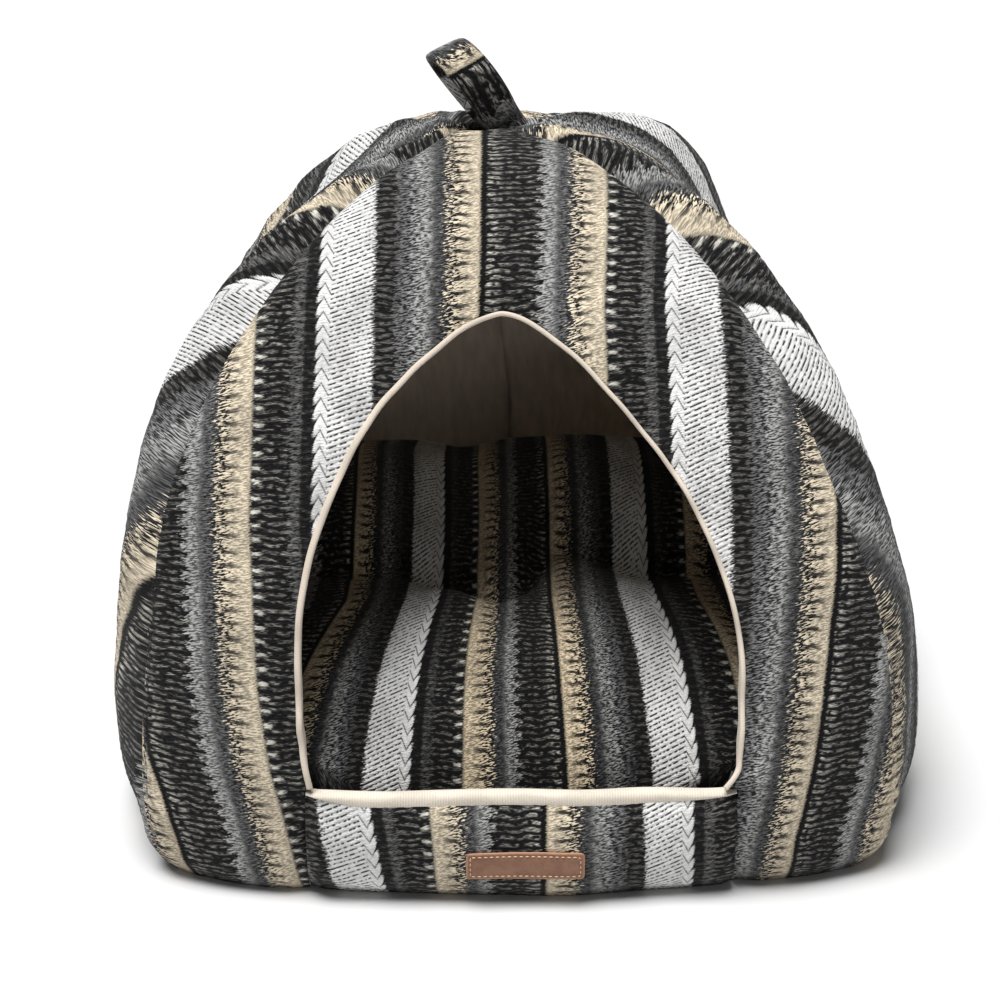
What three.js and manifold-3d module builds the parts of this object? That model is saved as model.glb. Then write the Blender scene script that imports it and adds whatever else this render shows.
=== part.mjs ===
// Hooded pet bed. Four padded cloth panels are sewn into a dome that leans a little at its peak.
// The front panel has an arched mouth over a separate low lip, both edged with folded tape.
// Inside are a plain lining in two halves and a deep loose cushion, creased across.
// Millimetres, +Z up. The mouth faces -Y. The origin is on the floor under the middle of the base.

import * as THREE from "three";
import { mergeVertices } from "three/addons/utils/BufferGeometryUtils.js";
import Module from "manifold-3d";

const wasm = await Module();
wasm.setup();

// Dome profile from the floor to the peak. crown is the middle of a panel and seam its sewn corner.
// Out is the distance from the axis towards the panel's own side, and Z is the height.
const PROFILE = [
  { crownOut: 206, crownZ: 0, seamOut: 176, seamZ: 0 },
  { crownOut: 217, crownZ: 16, seamOut: 184, seamZ: 16 },
  { crownOut: 222, crownZ: 44, seamOut: 187, seamZ: 44 },
  { crownOut: 221, crownZ: 78, seamOut: 186, seamZ: 78 },
  { crownOut: 215, crownZ: 112, seamOut: 183, seamZ: 111 },
  { crownOut: 206, crownZ: 146, seamOut: 178, seamZ: 144 },
  { crownOut: 193, crownZ: 180, seamOut: 170, seamZ: 178 },
  { crownOut: 177, crownZ: 214, seamOut: 158, seamZ: 211 },
  { crownOut: 157, crownZ: 247, seamOut: 143, seamZ: 243 },
  { crownOut: 135, crownZ: 276, seamOut: 125, seamZ: 270 },
  { crownOut: 112, crownZ: 302, seamOut: 104, seamZ: 295 },
  { crownOut: 88, crownZ: 323, seamOut: 81, seamZ: 316 },
  { crownOut: 61, crownZ: 338, seamOut: 56, seamZ: 331 },
  { crownOut: 33, crownZ: 345, seamOut: 30, seamZ: 338 },
  { crownOut: 12, crownZ: 342, seamOut: 10, seamZ: 339 },
];

// The dome leans to one side above a height, and its peak is pulled a little further.
const LEAN = { shift: -9, fromZ: 110, toZ: 220, peakShift: -5, peakFrom: 0.88 };

// Stuffing is uneven near the top: how far each side panel stands out there, and where it is most.
const SHOULDER = { right: 10, left: -6, at: 0.8, spread: 0.12 };

// Cloth walls.
const WALL = 10;
const PAD = 5;
const SEAM_SHARPNESS = 16;
const SEAM_MITRE = 1.1;
const GAP = 0.5;
const SEAM_GAP = 0.38;
const LINING = 1.5;
const LINING_GAP = 0.5;
const LINING_FOOT_Z = 9.5;

// Mouth: a little narrower at its foot, straight sides up to the spring line, then a soft pointed
// arch whose side and top points pull its curve.
const MOUTH = {
  footHalf: 105.5,
  kneeZ: 90,
  half: 107.5,
  springZ: 120,
  sideX: 107.5,
  sideZ: 235,
  topX: 20,
  topZ: 276,
  peakZ: 279.5,
};

// How much of a growth of the mouth goes to each point that shapes its arch.
const MOUTH_GROWTH = { sideZ: 0.5, topX: 0.6, topZ: 0.9 };

// Low lip between the legs of the front panel. Its top edge is pulled nearly straight and thin.
const LIP = { topZ: 60, thick: 9, topThick: 4, endGap: 0.5, topBelly: 0.15, columns: 12, rows: 6 };

// Folded edging tape: how far it laps the cloth, its thickness and how far it stands off the edge.
const ARCH_TAPE = { lap: 1.6, thick: 1.3 };
const LIP_TAPE = { lap: 2.6, thick: 1.3, steps: 16, round: 1.1 };
const TAPE_CLEAR = 0.4;
const TAPE_CLEAR_INSIDE = 0.9;

// Leather tag on the lip.
const TAG = {
  x: 3,
  z: 24,
  width: 58,
  height: 15.5,
  thick: 1.4,
  corner: 2.2,
  cornerSteps: 3,
  bevel: 0.3,
  cuts: 8,
  standOff: 0.8,
};

// Flat base board under the cushion.
const BASE = { thick: 8, inset: 13.5 };

// Cushion, from the lip to the back wall: height of its crown at each place. It is too deep for
// the bed, so it stands up steeply behind the lip and is creased across between two swells.
const CUSHION_CROWN = [
  { y: -204, z: 40 },
  { y: -196, z: 66 },
  { y: -182, z: 82 },
  { y: -162, z: 97 },
  { y: -136, z: 108 },
  { y: -108, z: 113 },
  { y: -88, z: 112 },
  { y: -77, z: 108 },
  { y: -66, z: 117 },
  { y: -42, z: 131 },
  { y: -10, z: 142 },
  { y: 30, z: 146 },
  { y: 80, z: 134 },
  { y: 130, z: 112 },
  { y: 170, z: 86 },
  { y: 196, z: 50 },
];
const CUSHION = { half: 200, sideFall: 5, edgeZ: 36, clear: 3, columns: 12 };

// Carry loop of folded strap: reach is its length, belly the half gap between its legs.
const LOOP = {
  width: 21.5,
  thick: 4.5,
  reach: 56,
  belly: 13,
  root: 2.7,
  neck: 3,
  sunk: 10,
  rootX: 9,
  lean: THREE.MathUtils.degToRad(35),
  turn: THREE.MathUtils.degToRad(22),
  steps: 30,
};

// Outline of one leg of the loop: shares of its belly and of its reach.
const LOOP_NECK_RISE = 0.08;
const LOOP_LEG = [
  { gap: 0.72, rise: 0.33 },
  { gap: 1, rise: 0.62 },
  { gap: 0.74, rise: 0.88 },
];

// Points across a panel, closer together beside the seams, and up it, one for each profile row.
const HALF_COLUMNS = [1, 0.955, 0.84, 0.6, 0.3];
const COLUMNS = [...HALF_COLUMNS.map((s) => -s), 0, ...HALF_COLUMNS.slice().reverse()];
const ROWS = PROFILE.map((_, row) => row / (PROFILE.length - 1));
const FOOT_ROWS = 2 / (PROFILE.length - 1);
const SIDES = { front: 0, right: 1, back: 2, left: 3 };
const SIDE_COUNT = 4;
const FAR = 400;

// Search for a height on the front panel: the highest row that it may reach, and its halvings.
const FACE_TOP = ROWS[ROWS.length - 3];
const HALVINGS = 30;

// Corners closer than this are one corner. Each half of the arch is cut into this many straight steps.
const WELD = 1e-4;
const ARCH_STEPS = 16;

const crownCurve = new THREE.SplineCurve(
  PROFILE.map((row) => new THREE.Vector2(row.crownOut, row.crownZ)),
);
const seamCurve = new THREE.SplineCurve(
  PROFILE.map((row) => new THREE.Vector2(row.seamOut * Math.SQRT2, row.seamZ)),
);

// Sideways shift of the axis at a height, and the further pull at the peak.
function lean(z) {
  return LEAN.shift * THREE.MathUtils.smoothstep(z, LEAN.fromZ, LEAN.toZ);
}

function peakPull(t) {
  return LEAN.peakShift * THREE.MathUtils.smoothstep(t, LEAN.peakFrom, 1);
}

// Extra or missing stuffing near the top of a side panel.
function shoulder(side, s, t) {
  const most = { [SIDES.right]: SHOULDER.right, [SIDES.left]: SHOULDER.left }[side] ?? 0;
  return most * (1 - s * s) * Math.exp(-(((t - SHOULDER.at) / SHOULDER.spread) ** 2));
}

// Inward direction of a profile. At the foot it turns level, so the wall stands flat on the floor.
function inward(curve, t) {
  const along = curve.getTangent(t);
  return new THREE.Vector2(-along.y, along.x * Math.min(1, t / FOOT_ROWS));
}

function insetPoint(curve, t, depth) {
  return curve.getPoint(t).addScaledVector(inward(curve, t), depth);
}

// A point of the dome: side counts quarter turns from the front, s runs from seam to seam of one
// panel, t climbs from floor to peak, and depth goes in from the outer face. The outer face swells
// off its seams by the padding, and every face further in is smooth.
function domePoint(side, s, t, depth) {
  const outer = depth < PAD;
  const crown = insetPoint(crownCurve, t, outer ? depth + PAD : depth);
  const seam = insetPoint(seamCurve, t, outer ? depth : depth * SEAM_MITRE - PAD);
  const seamOut = seam.x / Math.SQRT2;
  const bow = 1 - s * s;
  const flat = new THREE.Vector2(seamOut, seam.y).lerp(crown, bow);
  const padding = outer ? PAD * (1 - Math.abs(s) ** SEAM_SHARPNESS) : 0;
  flat.addScaledVector(inward(crownCurve, t), -padding - shoulder(side, s, t));
  const across = seamOut * s;
  const turned = new THREE.Vector2(across, -flat.x).rotateAround(
    new THREE.Vector2(),
    (side * Math.PI) / 2,
  );
  return new THREE.Vector3(turned.x + lean(flat.y) + peakPull(t), turned.y, flat.y);
}

// Point of the front panel's outer face at a given width and height.
function frontFace(x, z) {
  let low = 0;
  let high = FACE_TOP;
  let point = new THREE.Vector3();
  for (let halving = 0; halving < HALVINGS; halving += 1) {
    const t = (low + high) / 2;
    const seamOut = seamCurve.getPoint(t).x / Math.SQRT2;
    point = domePoint(SIDES.front, (x - lean(z)) / seamOut, t, 0);
    if (point.z < z) {
      low = t;
    } else {
      high = t;
    }
  }
  return new THREE.Vector3(x, point.y, z);
}

// Outer face of the lip: it follows the dome at the floor and is drawn straighter towards its top.
function lipFace(x, z) {
  const end = frontFace(MOUTH.footHalf, z).y;
  const belly = THREE.MathUtils.lerp(1, LIP.topBelly, z / LIP.topZ);
  return new THREE.Vector3(x, end + (frontFace(x, z).y - end) * belly, z);
}

function frameOn(face, x, z) {
  const across = face(x + 1, z).sub(face(x - 1, z));
  const up = face(x, z + 1).sub(face(x, z - 1));
  return { point: face(x, z), out: across.cross(up).normalize() };
}

function geometryOf(positions, triangles) {
  const geometry = new THREE.BufferGeometry();
  geometry.setAttribute("position", new THREE.Float32BufferAttribute(positions, 3));
  geometry.setIndex(triangles);
  return geometry;
}

function toSolid(geometry) {
  const bare = geometry.clone();
  bare.deleteAttribute("normal");
  bare.deleteAttribute("uv");
  const merged = mergeVertices(bare, WELD);
  const vertProperties = new Float32Array(merged.attributes.position.array);
  const triVerts = new Uint32Array(merged.index.array);
  return new wasm.Manifold(new wasm.Mesh({ numProp: 3, vertProperties, triVerts }));
}

function toGeometry(solid) {
  const mesh = solid.getMesh();
  return geometryOf(Array.from(mesh.vertProperties), Array.from(mesh.triVerts));
}

function largestBody(solid) {
  return solid.decompose().reduce((best, body) => (body.volume() > best.volume() ? body : best));
}

// Closed sheet between two faces given as functions of (column, row).
function sheet(outerFace, innerFace, columns, rows) {
  const positions = [];
  const width = columns.length;
  for (const face of [outerFace, innerFace]) {
    for (const t of rows) {
      for (const s of columns) {
        positions.push(...face(s, t));
      }
    }
  }
  const outer = (row, column) => row * width + column;
  const inner = (row, column) => (rows.length + row) * width + column;
  const triangles = [];
  const quad = (a, b, c, d) => triangles.push(a, b, c, a, c, d);
  const lastRow = rows.length - 1;
  const lastColumn = width - 1;
  for (let row = 0; row < lastRow; row += 1) {
    for (let column = 0; column < lastColumn; column += 1) {
      quad(outer(row, column), outer(row, column + 1), outer(row + 1, column + 1), outer(row + 1, column));
      quad(inner(row, column), inner(row + 1, column), inner(row + 1, column + 1), inner(row, column + 1));
    }
    quad(outer(row, 0), outer(row + 1, 0), inner(row + 1, 0), inner(row, 0));
    quad(
      outer(row, lastColumn),
      inner(row, lastColumn),
      inner(row + 1, lastColumn),
      outer(row + 1, lastColumn),
    );
  }
  for (let column = 0; column < lastColumn; column += 1) {
    quad(outer(0, column), inner(0, column), inner(0, column + 1), outer(0, column + 1));
    quad(
      outer(lastRow, column),
      outer(lastRow, column + 1),
      inner(lastRow, column + 1),
      inner(lastRow, column),
    );
  }
  return geometryOf(positions, triangles);
}

// One padded panel of the dome between two depths, parted from its neighbours at the seams.
function panelSheet(side, outerDepth, innerDepth) {
  const face = (depth) => (s, t) => {
    const parted = s * (1 - SEAM_GAP / (seamCurve.getPoint(t).x / Math.SQRT2));
    return domePoint(side, parted, t, depth).toArray();
  };
  return sheet(face(outerDepth), face(innerDepth), COLUMNS, ROWS);
}

// The whole dome as one closed solid, inset by a depth.
function domeSolid(depth) {
  const positions = [];
  const triangles = [];
  const around = COLUMNS.slice(0, -1);
  const ring = SIDE_COUNT * around.length;
  for (const t of ROWS) {
    for (let side = 0; side < SIDE_COUNT; side += 1) {
      for (const s of around) {
        positions.push(...domePoint(side, s, t, depth).toArray());
      }
    }
  }
  const last = ROWS.length - 1;
  const peakZ = domePoint(SIDES.front, 0, 1, depth).z;
  positions.push(0, 0, domePoint(SIDES.front, 0, 0, depth).z, lean(peakZ) + peakPull(1), 0, peakZ);
  const floorCentre = ROWS.length * ring;
  const peakCentre = floorCentre + 1;
  for (let step = 0; step < ring; step += 1) {
    const next = (step + 1) % ring;
    for (let row = 0; row < last; row += 1) {
      const a = row * ring + step;
      const b = row * ring + next;
      triangles.push(a, b, b + ring, a, b + ring, a + ring);
    }
    triangles.push(floorCentre, next, step);
    triangles.push(peakCentre, last * ring + step, last * ring + next);
  }
  return toSolid(geometryOf(positions, triangles));
}

// Prism of an outline drawn in width and height, run from front to back and sheared by the lean.
function prism(shape, frontY, backY) {
  const geometry = new THREE.ExtrudeGeometry(shape, {
    depth: backY - frontY,
    bevelEnabled: false,
    curveSegments: ARCH_STEPS,
  });
  geometry.rotateX(Math.PI / 2);
  geometry.translate(0, backY, 0);
  const place = geometry.attributes.position;
  for (let index = 0; index < place.count; index += 1) {
    place.setX(index, place.getX(index) + lean(place.getZ(index)));
  }
  return toSolid(geometry);
}

function block(minimum, maximum) {
  const low = new THREE.Vector3(...minimum);
  const high = new THREE.Vector3(...maximum);
  const size = high.clone().sub(low);
  const geometry = new THREE.BoxGeometry(size.x, size.y, size.z);
  const middle = low.add(high).multiplyScalar(0.5);
  geometry.translate(middle.x, middle.y, middle.z);
  return toSolid(geometry);
}

// Outline of the mouth from a bottom height, grown outwards by some amount.
function mouthOutline(bottomZ, grow) {
  const foot = MOUTH.footHalf + grow;
  const half = MOUTH.half + grow;
  const sideX = MOUTH.sideX + grow;
  const topX = MOUTH.topX + MOUTH_GROWTH.topX * grow;
  const sideZ = MOUTH.sideZ + MOUTH_GROWTH.sideZ * grow;
  const topZ = MOUTH.topZ + MOUTH_GROWTH.topZ * grow;
  const peakZ = MOUTH.peakZ + MOUTH_GROWTH.topZ * grow;
  const outline = new THREE.Shape();
  outline.moveTo(-foot, bottomZ);
  outline.lineTo(-foot, LIP.topZ);
  outline.lineTo(-half, MOUTH.kneeZ);
  outline.lineTo(-half, LEAN.fromZ);
  outline.lineTo(-half, MOUTH.springZ);
  outline.bezierCurveTo(-sideX, sideZ, -topX, topZ, 0, peakZ);
  outline.bezierCurveTo(topX, topZ, sideX, sideZ, half, MOUTH.springZ);
  outline.lineTo(half, LEAN.fromZ);
  outline.lineTo(half, MOUTH.kneeZ);
  outline.lineTo(foot, LIP.topZ);
  outline.lineTo(foot, bottomZ);
  return outline;
}

function mouthPrism(bottomZ, grow) {
  return prism(mouthOutline(bottomZ, grow), -FAR, 0);
}

// Sweep a convex section along frames of point, side and out directions, closed at both ends.
function sweep(frames, section) {
  const positions = [];
  const triangles = [];
  const count = section.length;
  for (const { point, side, out } of frames) {
    for (const [r, n] of section) {
      const corner = point.clone().addScaledVector(side, r).addScaledVector(out, n);
      positions.push(...corner.toArray());
    }
  }
  for (let step = 0; step + 1 < frames.length; step += 1) {
    for (let index = 0; index < count; index += 1) {
      const a = step * count + index;
      const b = step * count + ((index + 1) % count);
      triangles.push(a, b, b + count, a, b + count, a + count);
    }
  }
  const end = (frames.length - 1) * count;
  for (let index = 1; index + 1 < count; index += 1) {
    triangles.push(0, index + 1, index);
    triangles.push(end, end + index, end + index + 1);
  }
  return geometryOf(positions, triangles);
}

// Rectangle with clipped corners, counted anticlockwise.
function clippedSection(left, right, low, high, clip) {
  return [
    [left + clip, low],
    [right - clip, low],
    [right, low + clip],
    [right, high - clip],
    [right - clip, high],
    [left + clip, high],
    [left, high - clip],
    [left, low + clip],
  ];
}

function frontPanel() {
  return toSolid(panelSheet(SIDES.front, 0, WALL)).subtract(mouthPrism(-FAR, 0));
}

// Tape round the arch: a ring around the mouth, hollowed by the panel and lining that it folds over.
function archTape() {
  const innerDepth = WALL + GAP + LINING + TAPE_CLEAR_INSIDE;
  const fold = TAPE_CLEAR + ARCH_TAPE.thick;
  const bottomZ = LIP.topZ + LIP_TAPE.thick + 2 * TAPE_CLEAR;
  const ring = mouthPrism(bottomZ, ARCH_TAPE.lap).subtract(mouthPrism(-FAR, -fold));
  const around = toSolid(panelSheet(SIDES.front, -fold, innerDepth + ARCH_TAPE.thick));
  const lapped = toSolid(panelSheet(SIDES.front, -TAPE_CLEAR, innerDepth));
  const cloth = lapped.subtract(mouthPrism(-FAR, -TAPE_CLEAR));
  return largestBody(ring.intersect(around).subtract(cloth));
}

// The lip as a closed sheet, grown on every side but its flat foot by some amount.
function lipSheet(grow) {
  const half = MOUTH.footHalf - LIP.endGap + grow;
  const front = (s, t) => lipFace(s * half, t * (LIP.topZ + grow));
  const outer = (s, t) => {
    const { x, y, z } = front(s, t);
    return [x, y - grow, z];
  };
  const inner = (s, t) => {
    const { x, y, z } = front(s, t);
    return [x, y + THREE.MathUtils.lerp(LIP.thick, LIP.topThick, t) + grow, z];
  };
  const even = (count, from, to) =>
    Array.from({ length: count + 1 }, (_, step) => from + ((to - from) * step) / count);
  return sheet(outer, inner, even(LIP.columns, -1, 1), even(LIP.rows, 0, 1));
}

// Tape along the lip: a band swept over its top edge, hollowed by the lip.
function lipTape() {
  const half = MOUTH.footHalf - LIP.endGap;
  const side = new THREE.Vector3(0, 0, -1);
  const frames = [];
  for (let step = 0; step <= LIP_TAPE.steps; step += 1) {
    const point = lipFace(half * (1 - (2 * step) / LIP_TAPE.steps), LIP.topZ);
    frames.push({ point, side, out: new THREE.Vector3(0, -1, 0) });
  }
  const outside = TAPE_CLEAR + LIP_TAPE.thick;
  const inside = LIP.topThick + TAPE_CLEAR_INSIDE + LIP_TAPE.thick;
  const section = clippedSection(-outside, LIP_TAPE.lap, -inside, outside, LIP_TAPE.round);
  return largestBody(toSolid(sweep(frames, section)).subtract(toSolid(lipSheet(TAPE_CLEAR))));
}

// Lining halves hang inside the panels, meet up the back and stop just above the base. The lip has
// none behind it.
function liningHalf(direction) {
  const shell = domeSolid(WALL + GAP).subtract(domeSolid(WALL + GAP + LINING));
  const edge = (direction * LINING_GAP) / 2;
  const half = new THREE.Shape();
  half.moveTo(edge, LINING_FOOT_Z);
  half.lineTo(edge, LEAN.fromZ);
  half.lineTo(edge, LEAN.toZ);
  half.lineTo(edge, FAR);
  half.lineTo(direction * FAR, FAR);
  half.lineTo(direction * FAR, LEAN.toZ);
  half.lineTo(direction * FAR, LEAN.fromZ);
  half.lineTo(direction * FAR, LINING_FOOT_Z);
  return shell.intersect(prism(half, -FAR, FAR)).subtract(mouthPrism(-FAR, 0));
}

function leatherTag() {
  const outline = new THREE.Shape();
  const halfWidth = TAG.width / 2 - TAG.corner;
  const halfHeight = TAG.height / 2;
  const step = (2 * halfWidth) / TAG.cuts;
  outline.moveTo(-halfWidth, -halfHeight);
  for (let cut = 1; cut <= TAG.cuts; cut += 1) {
    outline.lineTo(-halfWidth + cut * step, -halfHeight);
  }
  outline.absarc(halfWidth, TAG.corner - halfHeight, TAG.corner, -Math.PI / 2, 0);
  outline.absarc(halfWidth, halfHeight - TAG.corner, TAG.corner, 0, Math.PI / 2);
  for (let cut = 1; cut <= TAG.cuts; cut += 1) {
    outline.lineTo(halfWidth - cut * step, halfHeight);
  }
  outline.absarc(-halfWidth, halfHeight - TAG.corner, TAG.corner, Math.PI / 2, Math.PI);
  outline.absarc(-halfWidth, TAG.corner - halfHeight, TAG.corner, Math.PI, 1.5 * Math.PI);
  const geometry = new THREE.ExtrudeGeometry(outline, {
    depth: TAG.thick - 2 * TAG.bevel,
    bevelSize: TAG.bevel,
    bevelThickness: TAG.bevel,
    bevelOffset: -TAG.bevel,
    bevelSegments: 1,
    curveSegments: TAG.cornerSteps,
  });
  const place = geometry.attributes.position;
  for (let index = 0; index < place.count; index += 1) {
    const { point, out } = frameOn(lipFace, TAG.x + place.getX(index), TAG.z + place.getY(index));
    point.addScaledVector(out, TAG.standOff + TAG.bevel + place.getZ(index));
    place.setXYZ(index, point.x, point.y, point.z);
  }
  return toSolid(geometry);
}

function baseBoard() {
  const corners = [];
  for (let side = 0; side < SIDE_COUNT; side += 1) {
    for (const s of COLUMNS.slice(0, -1)) {
      const { x, y } = domePoint(side, s, 0, BASE.inset);
      corners.push(new THREE.Vector2(x, y));
    }
  }
  const outline = new THREE.Shape(corners);
  return toSolid(new THREE.ExtrudeGeometry(outline, { depth: BASE.thick, bevelEnabled: false }));
}

// Cushion: a filled form under its crown line, falling to each side, pressed into the room that the
// lining leaves it.
function cushion() {
  const crown = new THREE.SplineCurve(CUSHION_CROWN.map(({ y, z }) => new THREE.Vector2(y, z)));
  const last = CUSHION_CROWN.length - 1;
  const top = (s, t) => {
    const { x: y, y: z } = crown.getPoint(t);
    const fall = Math.sqrt(1 - Math.abs(s) ** CUSHION.sideFall);
    return [s * CUSHION.half, y, CUSHION.edgeZ + (z - CUSHION.edgeZ) * fall];
  };
  const bottom = (s, t) => [s * CUSHION.half, crown.getPoint(t).x, 0];
  const columns = [];
  for (let column = 0; column <= CUSHION.columns; column += 1) {
    columns.push(Math.sin((column / CUSHION.columns - 0.5) * Math.PI));
  }
  const rows = CUSHION_CROWN.map((_, row) => row / last);
  const filled = toSolid(sheet(top, bottom, columns, rows));
  const room = domeSolid(WALL + GAP + LINING + CUSHION.clear);
  const aboveBase = block([-FAR, -FAR, BASE.thick + GAP], [FAR, FAR, FAR]);
  return largestBody(filled.intersect(room).intersect(aboveBase));
}

// Carry loop: a strap bent back on itself, its two ends sewn in at the peak.
function carryLoop() {
  const peak = domePoint(SIDES.front, 0, 1, 0);
  const root = new THREE.Vector3(lean(peak.z) + peakPull(1) + LOOP.rootX, 0, peak.z);
  const up = new THREE.Vector3(-Math.sin(LOOP.lean), 0, Math.cos(LOOP.lean));
  const across = new THREE.Vector3(Math.cos(LOOP.lean), 0, Math.sin(LOOP.lean));
  const axis = new THREE.Vector3(0, 0, 1);
  up.applyAxisAngle(axis, LOOP.turn);
  across.applyAxisAngle(axis, LOOP.turn);
  const apart = up.clone().cross(across);
  const leg = [
    { gap: LOOP.root, rise: -LOOP.sunk },
    { gap: LOOP.neck, rise: LOOP_NECK_RISE * LOOP.reach },
    ...LOOP_LEG.map(({ gap, rise }) => ({ gap: gap * LOOP.belly, rise: rise * LOOP.reach })),
  ];
  const tip = { gap: 0, rise: LOOP.reach - LOOP.thick / 2 };
  const back = leg.slice().reverse().map(({ gap, rise }) => ({ gap: -gap, rise }));
  const path = new THREE.CatmullRomCurve3(
    [...leg, tip, ...back].map(({ gap, rise }) =>
      root.clone().addScaledVector(apart, gap).addScaledVector(up, rise),
    ),
  );
  const frames = [];
  for (let step = 0; step <= LOOP.steps; step += 1) {
    const along = path.getTangentAt(step / LOOP.steps);
    const out = along.clone().cross(across).normalize();
    frames.push({ point: path.getPointAt(step / LOOP.steps), side: across, out });
  }
  const section = clippedSection(
    -LOOP.width / 2,
    LOOP.width / 2,
    -LOOP.thick / 2,
    LOOP.thick / 2,
    LOOP.thick / 4,
  );
  return largestBody(toSolid(sweep(frames, section)).subtract(domeSolid(-GAP)));
}

const CLOTH = { color: 0x4b4946, roughness: 0.95, metalness: 0 };
const TAPE = { color: 0xe2d4c4, roughness: 0.85, metalness: 0 };
const PLAIN = { color: 0xb9a894, roughness: 0.9, metalness: 0 };
const LEATHER = { color: 0x965f44, roughness: 0.6, metalness: 0 };

const group = new THREE.Group();

function addNode(name, geometry, finish) {
  const mesh = new THREE.Mesh(geometry, new THREE.MeshStandardMaterial(finish));
  mesh.name = name;
  group.add(mesh);
}

addNode("base_board", toGeometry(baseBoard()), CLOTH);
addNode("front_panel", toGeometry(frontPanel()), CLOTH);
addNode("right_panel", panelSheet(SIDES.right, 0, WALL), CLOTH);
addNode("back_panel", panelSheet(SIDES.back, 0, WALL), CLOTH);
addNode("left_panel", panelSheet(SIDES.left, 0, WALL), CLOTH);
addNode("front_lip", lipSheet(0), CLOTH);
addNode("arch_tape", toGeometry(archTape()), TAPE);
addNode("lip_tape", toGeometry(lipTape()), TAPE);
addNode("lining_left", toGeometry(liningHalf(-1)), PLAIN);
addNode("lining_right", toGeometry(liningHalf(1)), PLAIN);
addNode("cushion", toGeometry(cushion()), CLOTH);
addNode("carry_loop", toGeometry(carryLoop()), CLOTH);
addNode("leather_tag", toGeometry(leatherTag()), LEATHER);

export default group;
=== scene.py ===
"""Hooded pet bed of striped knitted cloth, dressed around its solid parts."""

import math

import bmesh
import bpy
import numpy as np
from bpy.props import FloatProperty, FloatVectorProperty, IntProperty, PointerProperty
from mathutils import Matrix, Vector


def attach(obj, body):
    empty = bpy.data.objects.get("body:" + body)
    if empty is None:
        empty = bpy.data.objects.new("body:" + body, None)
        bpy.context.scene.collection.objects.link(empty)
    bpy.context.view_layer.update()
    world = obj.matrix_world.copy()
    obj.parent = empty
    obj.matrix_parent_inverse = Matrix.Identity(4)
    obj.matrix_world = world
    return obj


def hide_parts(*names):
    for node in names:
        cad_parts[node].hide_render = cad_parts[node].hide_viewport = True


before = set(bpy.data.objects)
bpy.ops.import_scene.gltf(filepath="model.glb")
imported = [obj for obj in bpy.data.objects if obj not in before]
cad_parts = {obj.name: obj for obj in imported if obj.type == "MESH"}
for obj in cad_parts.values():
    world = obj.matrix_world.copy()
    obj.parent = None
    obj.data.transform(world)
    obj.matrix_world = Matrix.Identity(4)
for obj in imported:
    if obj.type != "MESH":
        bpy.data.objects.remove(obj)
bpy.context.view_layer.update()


bl_info = {
    "name": "Hooded Pet Bed",
    "version": (1, 0, 0),
    "blender": (4, 5, 0),
    "location": "3D View > Sidebar > Pet Bed",
    "description": "Dresses the solids of a hooded pet bed in striped knitted cloth",
    "category": "Object",
}

MM = 0.001
FRONT, RIGHT, BACK, LEFT = range(4)
SIDE_NAMES = ("front", "right", "back", "left")

# The dome's two profiles, in millimetres: reach and height of a panel's middle, then of its seam
PROFILE = np.array([
    (206, 0, 176, 0),
    (217, 16, 184, 16),
    (222, 44, 187, 44),
    (221, 78, 186, 78),
    (215, 112, 183, 111),
    (206, 146, 178, 144),
    (193, 180, 170, 178),
    (177, 214, 158, 211),
    (157, 247, 143, 243),
    (135, 276, 125, 270),
    (112, 302, 104, 295),
    (88, 323, 81, 316),
    (61, 338, 56, 331),
    (33, 345, 30, 338),
    (12, 342, 10, 339),
]) * MM
CROWN = PROFILE[:, :2]
SEAM = PROFILE[:, 2:] * (math.sqrt(2), 1)
# The share of a profile over which the way out of it turns from level
FOOT = 2 / (len(PROFILE) - 1)
# How far the dome leans to one side and between what heights, and how far its peak and shoulders are shifted
LEAN, LEAN_FROM, LEAN_TO = -9 * MM, 110 * MM, 220 * MM
PEAK_SHIFT, PEAK_FROM = -5 * MM, 0.88
SHOULDER = {RIGHT: 10 * MM, LEFT: -6 * MM}
SHOULDER_AT, SHOULDER_SPREAD = 0.8, 0.12
# How far a wall swells off its seams, and how much deeper its inner face lies behind them
PAD, MITRE = 5 * MM, 1.1

# The mouth's edge: half its width at the foot and at the spring line, and the pulls of its soft arch
MOUTH_FOOT = 105.5 * MM
MOUTH_HALF = 106.5 * MM
SPRING_Z = 120 * MM
ARCH_PULL = np.array([(-106.5, 212), (-31, 278), (1, 280.5)]) * MM
# How far the two ends of the arch turn in over the lip, and from what height
LEFT_TUCK, RIGHT_TUCK = (3.5 * MM, 22 * MM), (8 * MM, 11 * MM)
# Shares of the dome's lean that the mouth takes below and at the top of the arch, and the heights between
MOUTH_LEAN, ARCH_LEAN, ARCH_FROM, ARCH_TO = 0.6, 1.05, 200 * MM, 250 * MM
# The lip: its height, how much of the wall's bow is left at its top, and where edge and tape clear it
LIP_TOP, LIP_BELLY = 60 * MM, 0.15
EDGE_CLEAR, TAPE_CLEAR = LIP_TOP + 3.4 * MM, LIP_TOP + 3.6 * MM

# How far behind the mouth's edge the lining stops, as a share of a panel, how deep it hangs and its foot
LINING_LAP, LINING_DEPTH, LINING_FOOT = 0.026, 11.6 * MM, 9.5 * MM
# Width of a panel's lining in metres, and the thickness of lining and tape
PANEL_WIDTH, LINING_THICK, TAPE_THICK = 0.35, 1.2 * MM, 0.9 * MM
# How far inside the walls the base ends, its thickness and its rounding
BASE_DEPTH, BASE_THICK, BASE_ROUND = 13.5 * MM, 8 * MM, 1.5 * MM

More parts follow.
